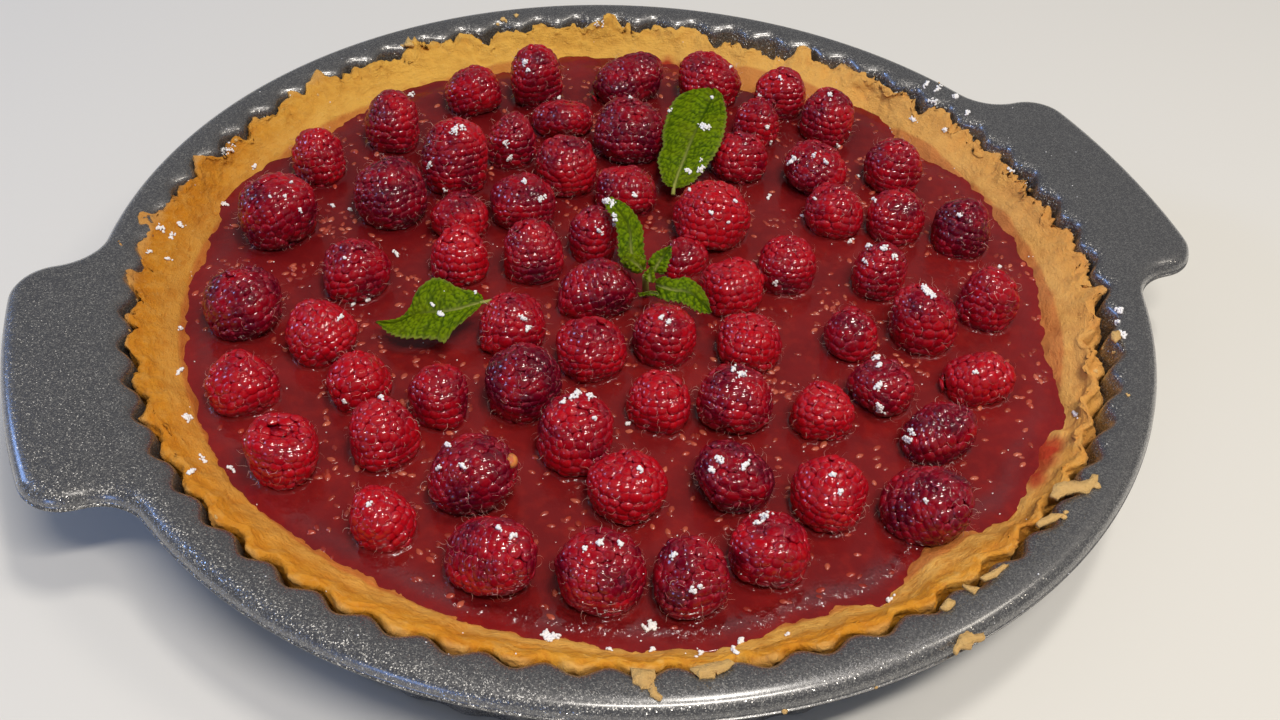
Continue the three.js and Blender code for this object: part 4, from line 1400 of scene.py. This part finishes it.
# %% [markdown]
# ## Icing sugar
# Sugar was sifted on by hand and much of it fell in clumps. Dry clumps stay white on the berries and mint. A
# clump is a few dozen small grains, and each one lies on what is under it. Particles would scatter them as
# well, but not into clumps at chosen places. Where each clump lies is a choice made through the camera:
# points of the finished picture are named below, and the grains are laid where the eye would see them.

# %% Looking through the camera
def sight(px, py):
    """The way the eye looks through a point of the picture."""
    across = (px - PICTURE_WIDTH / 2) / FOCAL_PIXELS
    up = (PICTURE_HEIGHT / 2 - py) / FOCAL_PIXELS
    return (aim @ Vector((across, up, -1))).normalized()


def seen(px, py):
    """What the eye meets there: place, normal and name."""
    return ray(eye / MM, sight(px, py))


# %% Where the sugar lies
# picture x, y, spread (pixels), and a measure of how many grains
CLUMPS = [
    (927, 291, 6, 34), (932, 297, 3, 10), (876, 358, 4, 16), (879, 366, 3, 14), (878, 386, 4, 18),
    (880, 408, 5, 22), (869, 246, 3, 8), (884, 248, 4, 10), (895, 256, 4, 10), (866, 262, 3, 6),
    (455, 130, 5, 14), (462, 127, 3, 6), (506, 143, 4, 10), (509, 158, 3, 8), (525, 182, 3, 10),
    (541, 199, 4, 12), (525, 62, 4, 9), (528, 70, 2, 4), (369, 505, 3, 9), (523, 318, 3, 8),
    (528, 328, 3, 8), (661, 318, 3, 9), (668, 322, 2, 5), (765, 517, 5, 16), (757, 523, 3, 8),
    (720, 460, 5, 22), (712, 470, 4, 12), (745, 466, 4, 16), (741, 375, 5, 18), (733, 370, 3, 8),
    (600, 543, 4, 14), (620, 545, 4, 14), (585, 549, 2, 4), (674, 556, 3, 8), (693, 590, 3, 10),
    (700, 586, 2, 6), (651, 627, 4, 20), (645, 629, 3, 8), (577, 395, 5, 16), (590, 397, 4, 12),
    (563, 402, 3, 8), (594, 418, 2, 6), (447, 445, 3, 9), (440, 467, 3, 7), (463, 466, 3, 9),
    (512, 536, 3, 10), (499, 528, 3, 7), (382, 398, 3, 8), (628, 424, 2, 6), (340, 318, 3, 8),
    (345, 401, 2, 5), (285, 196, 2, 5), (300, 210, 2, 4), (640, 470, 3, 10), (700, 160, 2, 3),
    (908, 440, 4, 14), (912, 432, 3, 8), (833, 475, 3, 9), (840, 492, 3, 8), (775, 283, 3, 6),
    (711, 213, 2, 5), (728, 222, 2, 4), (635, 195, 3, 7), (598, 230, 3, 7), (830, 95, 3, 6),
    (815, 155, 3, 6), (975, 372, 3, 6), (1000, 268, 2, 5), (960, 215, 2, 5), (925, 500, 3, 6),
    (690, 190, 2, 4), (760, 95, 2, 5), (704, 127, 5, 34), (688, 171, 3, 14), (700, 170, 3, 12),
    (712, 98, 2, 6), (441, 315, 3, 14), (475, 293, 2, 6), (607, 201, 4, 24), (613, 204, 3, 12),
    (615, 220, 2, 8), (226, 150, 5, 16), (160, 228, 5, 14), (172, 236, 3, 8), (186, 418, 4, 16),
    (191, 472, 4, 18), (551, 638, 6, 34), (544, 634, 4, 14), (412, 95, 3, 8), (150, 252, 3, 6),
    (1120, 310, 4, 18), (1122, 334, 4, 16), (1118, 322, 3, 8), (965, 88, 3, 7), (1010, 170, 3, 6),
    (1076, 415, 4, 10), (930, 100, 3, 6), (600, 24, 4, 8), (735, 652, 4, 10), (890, 600, 3, 8),
    (700, 655, 3, 6), (926, 85, 3, 14), (938, 89, 3, 12), (955, 97, 3, 14), (935, 102, 3, 10),
    (968, 113, 3, 12), (913, 120, 4, 16), (945, 130, 3, 12), (670, 111, 2, 6), (702, 168, 4, 16),
    (614, 215, 2, 8), (614, 224, 2, 8), (202, 459, 3, 8), (231, 469, 3, 10), (179, 372, 4, 12),
    (180, 329, 2, 6), (228, 149, 6, 34), (254, 166, 3, 8), (180, 225, 3, 12), (168, 259, 3, 10),
    (224, 205, 3, 8), (741, 641, 3, 12), (609, 650, 2, 6), (652, 651, 2, 6), (788, 635, 2, 6),
    (653, 626, 4, 22), (767, 127, 2, 9), (770, 143, 2, 5), (838, 146, 2, 8), (791, 162, 3, 12),
    (795, 158, 3, 10), (826, 162, 2, 8), (858, 177, 2, 5), (769, 197, 2, 8), (803, 217, 2, 7),
    (815, 199, 1, 4), (735, 202, 2, 6), (851, 241, 2, 7), (875, 200, 2, 5), (558, 98, 2, 5),
    (630, 98, 2, 4), (730, 67, 2, 5), (780, 78, 2, 6), (332, 206, 2, 5), (350, 210, 2, 6),
    (396, 254, 3, 8), (345, 258, 1, 4), (367, 301, 2, 6), (353, 305, 2, 7), (433, 305, 2, 4),
    (291, 183, 1, 4), (270, 197, 1, 4), (430, 165, 3, 8), (445, 190, 2, 4),
]
DUSTING = 240                              # stray grains over the whole tart
DUSTED = (180, 1080), (40, 660)            # the picture's x and y between which they lie
print(len(CLUMPS), "clumps of sugar")

# %% Grains
grain_shape = bmesh.new()
bmesh.ops.create_uvsphere(grain_shape, u_segments=6, v_segments=4, radius=1)
for vert in grain_shape.verts:
    vert.co += noise.noise_vector(vert.co * 1.3) * 0.35
grain_shape = small_shape(grain_shape)
chance = random.Random(23)
stands, marks = [], []


def drop_grain(px, py, pile, size):
    """One grain where the eye meets the tart, on its surface or a little above, on the grains of a pile."""
    hit = seen(px, py)
    if hit is None or hit[2] == "table":
        return
    spot = hit[0] + hit[1] * (size * 0.45 + pile)
    sizes = (size, size * chance.uniform(0.6, 1.0), size * chance.uniform(0.5, 0.8))
    stands.append(stand_on(spot, hit[1], chance.uniform(0, 7), sizes))
    marks.append((chance.random(), 0, 0))


for px, py, spread, grains in CLUMPS:
    bend = chance.uniform(-0.8, 0.8)
    for _ in range(int(grains * 1.8)):
        off = chance.gauss(0, spread * 0.46), chance.gauss(0, spread * 0.34)
        near = math.exp(-(off[0] ** 2 + off[1] ** 2) / spread ** 2 * 2)
        pile = 0.4 * near * chance.random()
        drop_grain(px + off[0], py + off[1] + bend * off[0], pile, chance.uniform(0.26, 0.54))
for _ in range(DUSTING):
    drop_grain(chance.uniform(*DUSTED[0]), chance.uniform(*DUSTED[1]), 0, chance.uniform(0.14, 0.26))
sugar_finish = Finish("icing_sugar")
place = sugar_finish.place()
sugar_tint = sugar_finish.noise(place, 0.8, 2)
sugar_material = sugar_finish.surface({
    "Base Color": sugar_finish.mix(sugar_tint, rgb(0.90, 0.88, 0.88), rgb(0.96, 0.95, 0.94)),
    "Roughness": 0.8,
    "Normal": sugar_finish.bump(sugar_finish.noise(place, 0.25, 3), 0.08, 0.8),
})
sugar = make_piece("icing_sugar", joined(grain_shape, stands, marks, "grain"), sugar_material)
print("icing sugar:", len(stands), "grains with", triangles(sugar), "triangles")

# %% [markdown]
# ## Crumbs on the flange
# Crumbs broke off the crust and lie on the tin's flange. They could be sculpted one by one, but at their
# size a rough lump is enough: an icosphere pushed about by noise, flattened, and copied at different sizes,
# each crumb with two bits of dust beside it.

# %% Crumbs
# picture x, y and size in mm of each crumb that lies on the flange
CRUMBS = [
    (970, 640, 2.2), (963, 645, 1.6), (1095, 486, 2.0), (1086, 492, 1.6), (1062, 517, 1.5),
    (1066, 512, 1.1), (655, 690, 1.6), (649, 683, 1.3), (786, 712, 1.3), (876, 688, 1.2),
    (947, 604, 1.5), (1104, 348, 1.0), (1114, 352, 0.9), (1096, 372, 1.2), (505, 20, 1.7),
    (516, 17, 1.4), (497, 24, 1.0), (409, 42, 1.4), (402, 46, 1.0), (1128, 395, 0.9), (137, 300, 0.9),
    (130, 331, 0.8), (215, 517, 0.9), (1030, 190, 1.0), (938, 82, 1.1), (950, 76, 0.8), (870, 50, 0.9),
    (318, 95, 0.8), (236, 140, 1.0),
]


def pale_inside(dough, place, reach, gold):
    """Crumbs show the dough's inside, which the oven did not brown."""
    return dough.mix(0.6, gold, rgb(0.80, 0.56, 0.24))


crumb_shape = bmesh.new()
bmesh.ops.create_icosphere(crumb_shape, subdivisions=2, radius=1)
for vert in crumb_shape.verts:
    vert.co *= 1 + noise.noise(vert.co * 1.7) * 0.55
crumb_shape = small_shape(crumb_shape)
crumb_material = shortcrust("crumb", pale_inside)
stands, marks = [], []
for px, py, size in CRUMBS:
    for k in range(3):
        hit = seen(px + chance.gauss(0, size * 0.8), py + chance.gauss(0, size * 0.6))
        if hit is None or hit[2] == "table":
            continue
        small_size = size * (0.62 if k == 0 else chance.uniform(0.25, 0.45))
        sizes = (small_size, small_size * chance.uniform(0.6, 1), small_size * chance.uniform(0.3, 0.55))
        stands.append(stand_on(hit[0] + hit[1] * sizes[2] * 0.6, hit[1], chance.uniform(0, 7), sizes))
        # each point's height on the crumb becomes a share of painted highlight, so its top is lighter, and 0.2
        # a share of painted pit shade
        marks.append((0.2, 0.4, 0))
crumbs = make_piece("crumbs", joined(crumb_shape, stands, marks, "bake"), crumb_material)
print("crumbs:", len(stands), "with", triangles(crumbs), "triangles")

# %% [markdown]
# ### Flakes
# Where the dough was pressed over the tin's edge, thin flakes hang on to the crust or lie broken off on the
# flange. Their outlines could be drawn as curves in the editor. Here an outline is drawn corner by corner
# where the eye would see it, on a level just above the flange that carries it, and is cut finer and made
# ragged before it gets its thickness.

# %% Flakes over the edge
FLAKES = [                                 # corners, as picture x and y
    [(630, 668), (632, 675), (635, 682), (642, 687), (649, 689), (651, 684), (656, 676), (655, 669)],
    [(653, 682), (656, 690), (662, 696), (661, 700), (656, 699), (650, 694), (649, 689)],
    [(690, 668), (694, 673), (700, 677), (707, 677), (715, 677), (716, 670), (718, 674), (725, 671),
     (730, 667), (735, 663), (728, 659), (705, 664)],
    [(1055, 484), (1064, 481), (1079, 481), (1089, 479), (1092, 474), (1099, 475), (1098, 480),
     (1094, 486), (1090, 492), (1077, 491), (1066, 493), (1058, 499), (1050, 495)],
    [(1041, 519), (1051, 513), (1066, 514), (1056, 520), (1040, 526), (1036, 523)],
    [(985, 580), (997, 576), (1009, 564), (1003, 564), (990, 572), (980, 577)],
    [(962, 584), (973, 586), (980, 588), (974, 594), (969, 589)],
    [(940, 607), (948, 598), (955, 599), (954, 606), (947, 610)],
    [(1112, 331), (1119, 330), (1121, 337), (1116, 342), (1112, 337)],
    [(404, 44), (408, 36), (414, 45)],
    [(953, 650), (957, 641), (960, 634), (968, 630), (972, 635), (984, 632), (985, 638), (975, 641),
     (972, 647), (962, 647), (957, 654)],
]
FLAKE_THICKNESS, FLAKE_RAGGED = 0.9, 0.3
FLAKE_LEVEL = TIN_HEIGHT + 0.55


def on_level(px, py, level):
    """The point of a level plane that the eye sees at a point of the picture."""
    way = sight(px, py)
    return eye / MM + way * ((level - eye.z / MM) / way.z)


flakes_mesh = bmesh.new()
for corners in FLAKES:
    flake = bmesh.new()
    flake.faces.new([flake.verts.new(on_level(px, py, FLAKE_LEVEL)) for px, py in corners])
    bmesh.ops.subdivide_edges(flake, edges=flake.edges[:], cuts=3)
    for vert in flake.verts:
        vert.co += noise.noise_vector(vert.co / 1.3) * FLAKE_RAGGED
    bmesh.ops.triangulate(flake, faces=flake.faces[:])
    bmesh.ops.recalc_face_normals(flake, faces=flake.faces[:])
    if sum(face.normal.z for face in flake.faces) < 0:
        bmesh.ops.reverse_faces(flake, faces=flake.faces[:])
    bmesh.ops.solidify(flake, geom=flake.faces[:], thickness=FLAKE_THICKNESS)
    bmesh.ops.recalc_face_normals(flake, faces=flake.faces[:])
    part = small_shape(flake)
    flakes_mesh.from_mesh(part)
    bpy.data.meshes.remove(part)
# half a share of painted edge highlight and no painted pit shade
flake_marks_layer = flakes_mesh.verts.layers.float_color.new("bake")
for vert in flakes_mesh.verts:
    vert[flake_marks_layer] = (0.5, 0.0, 0.6, 0.5)
flakes = make_piece("crust_flakes", flakes_mesh, crumb_material)
print("flakes:", triangles(flakes), "triangles")

# %% [markdown]
# ## The stage
# A plain pale table in a dim room, under one wide warm lamp above the front and two smaller ones above the
# middle and the right, with two cool windows at the left. A sky picture would light the tart too, but area
# lights give soft shadows with a clear direction, and their shape is what shows in wet surfaces.

# %% Table
bpy.context.scene.view_settings.view_transform = "Standard"
bpy.context.scene.view_settings.look = "None"
TABLE_HALF = 3000                          # mm
table_mesh = bmesh.new()
bmesh.ops.create_grid(table_mesh, x_segments=1, y_segments=1, size=TABLE_HALF)
table_finish = Finish("pale_table")
table_tint = table_finish.noise(table_finish.place(), 400, 2)
table_material = table_finish.surface({
    "Base Color": table_finish.mix(table_tint, rgb(0.76, 0.745, 0.70), rgb(0.79, 0.775, 0.735)),
    "Roughness": 0.7,
    "Specular IOR Level": 0.3,
})
bmesh.ops.scale(table_mesh, vec=(MM, MM, MM), verts=table_mesh.verts)
table_data = bpy.data.meshes.new("table")
table_mesh.to_mesh(table_data)
table_mesh.free()
table_data.materials.append(table_material)
table = bpy.data.objects.new("table", table_data)
bpy.context.scene.collection.objects.link(table)
print("table, mm across:", 2 * TABLE_HALF)


# %% Lamps and the room
def lamp(name, place, size, watts, colour):
    """A lit rectangle that faces the tart: its place, and its width and height, are in metres."""
    data = bpy.data.lights.new(name, "AREA")
    data.shape = "RECTANGLE"
    data.size, data.size_y = size
    data.energy = watts
    data.color = colour
    light = bpy.data.objects.new(name, data)
    light.location = place
    light.rotation_euler = (-Vector(place)).to_track_quat("-Z", "Y").to_euler()
    bpy.context.scene.collection.objects.link(light)


lamp("ceiling_lamp", (0.01, -0.60, 1.168), (0.60, 0.09), 8.9, (1.0, 0.94, 0.86))
lamp("ceiling_right", (0.80, -0.30, 1.10), (0.25, 0.25), 2.1, (1.0, 0.92, 0.80))
lamp("ceiling_middle", (0.20, -0.10, 1.30), (0.24, 0.14), 4.6, (1.0, 0.95, 0.88))
lamp("window_left", (-0.98, 0.66, 0.56), (0.36, 0.36), 3.4, (0.27, 0.47, 1.0))
lamp("window_front", (-1.06, -0.80, 0.24), (0.30, 0.30), 1.6, (0.22, 0.42, 1.0))

room = bpy.data.worlds.new("room")
room.use_nodes = True
room.node_tree.nodes["Background"].inputs["Color"].default_value = rgb(0.93, 0.95, 1.0)
room.node_tree.nodes["Background"].inputs["Strength"].default_value = 0.20
bpy.context.scene.world = room
print("lamps:", [light.name for light in bpy.data.lights])
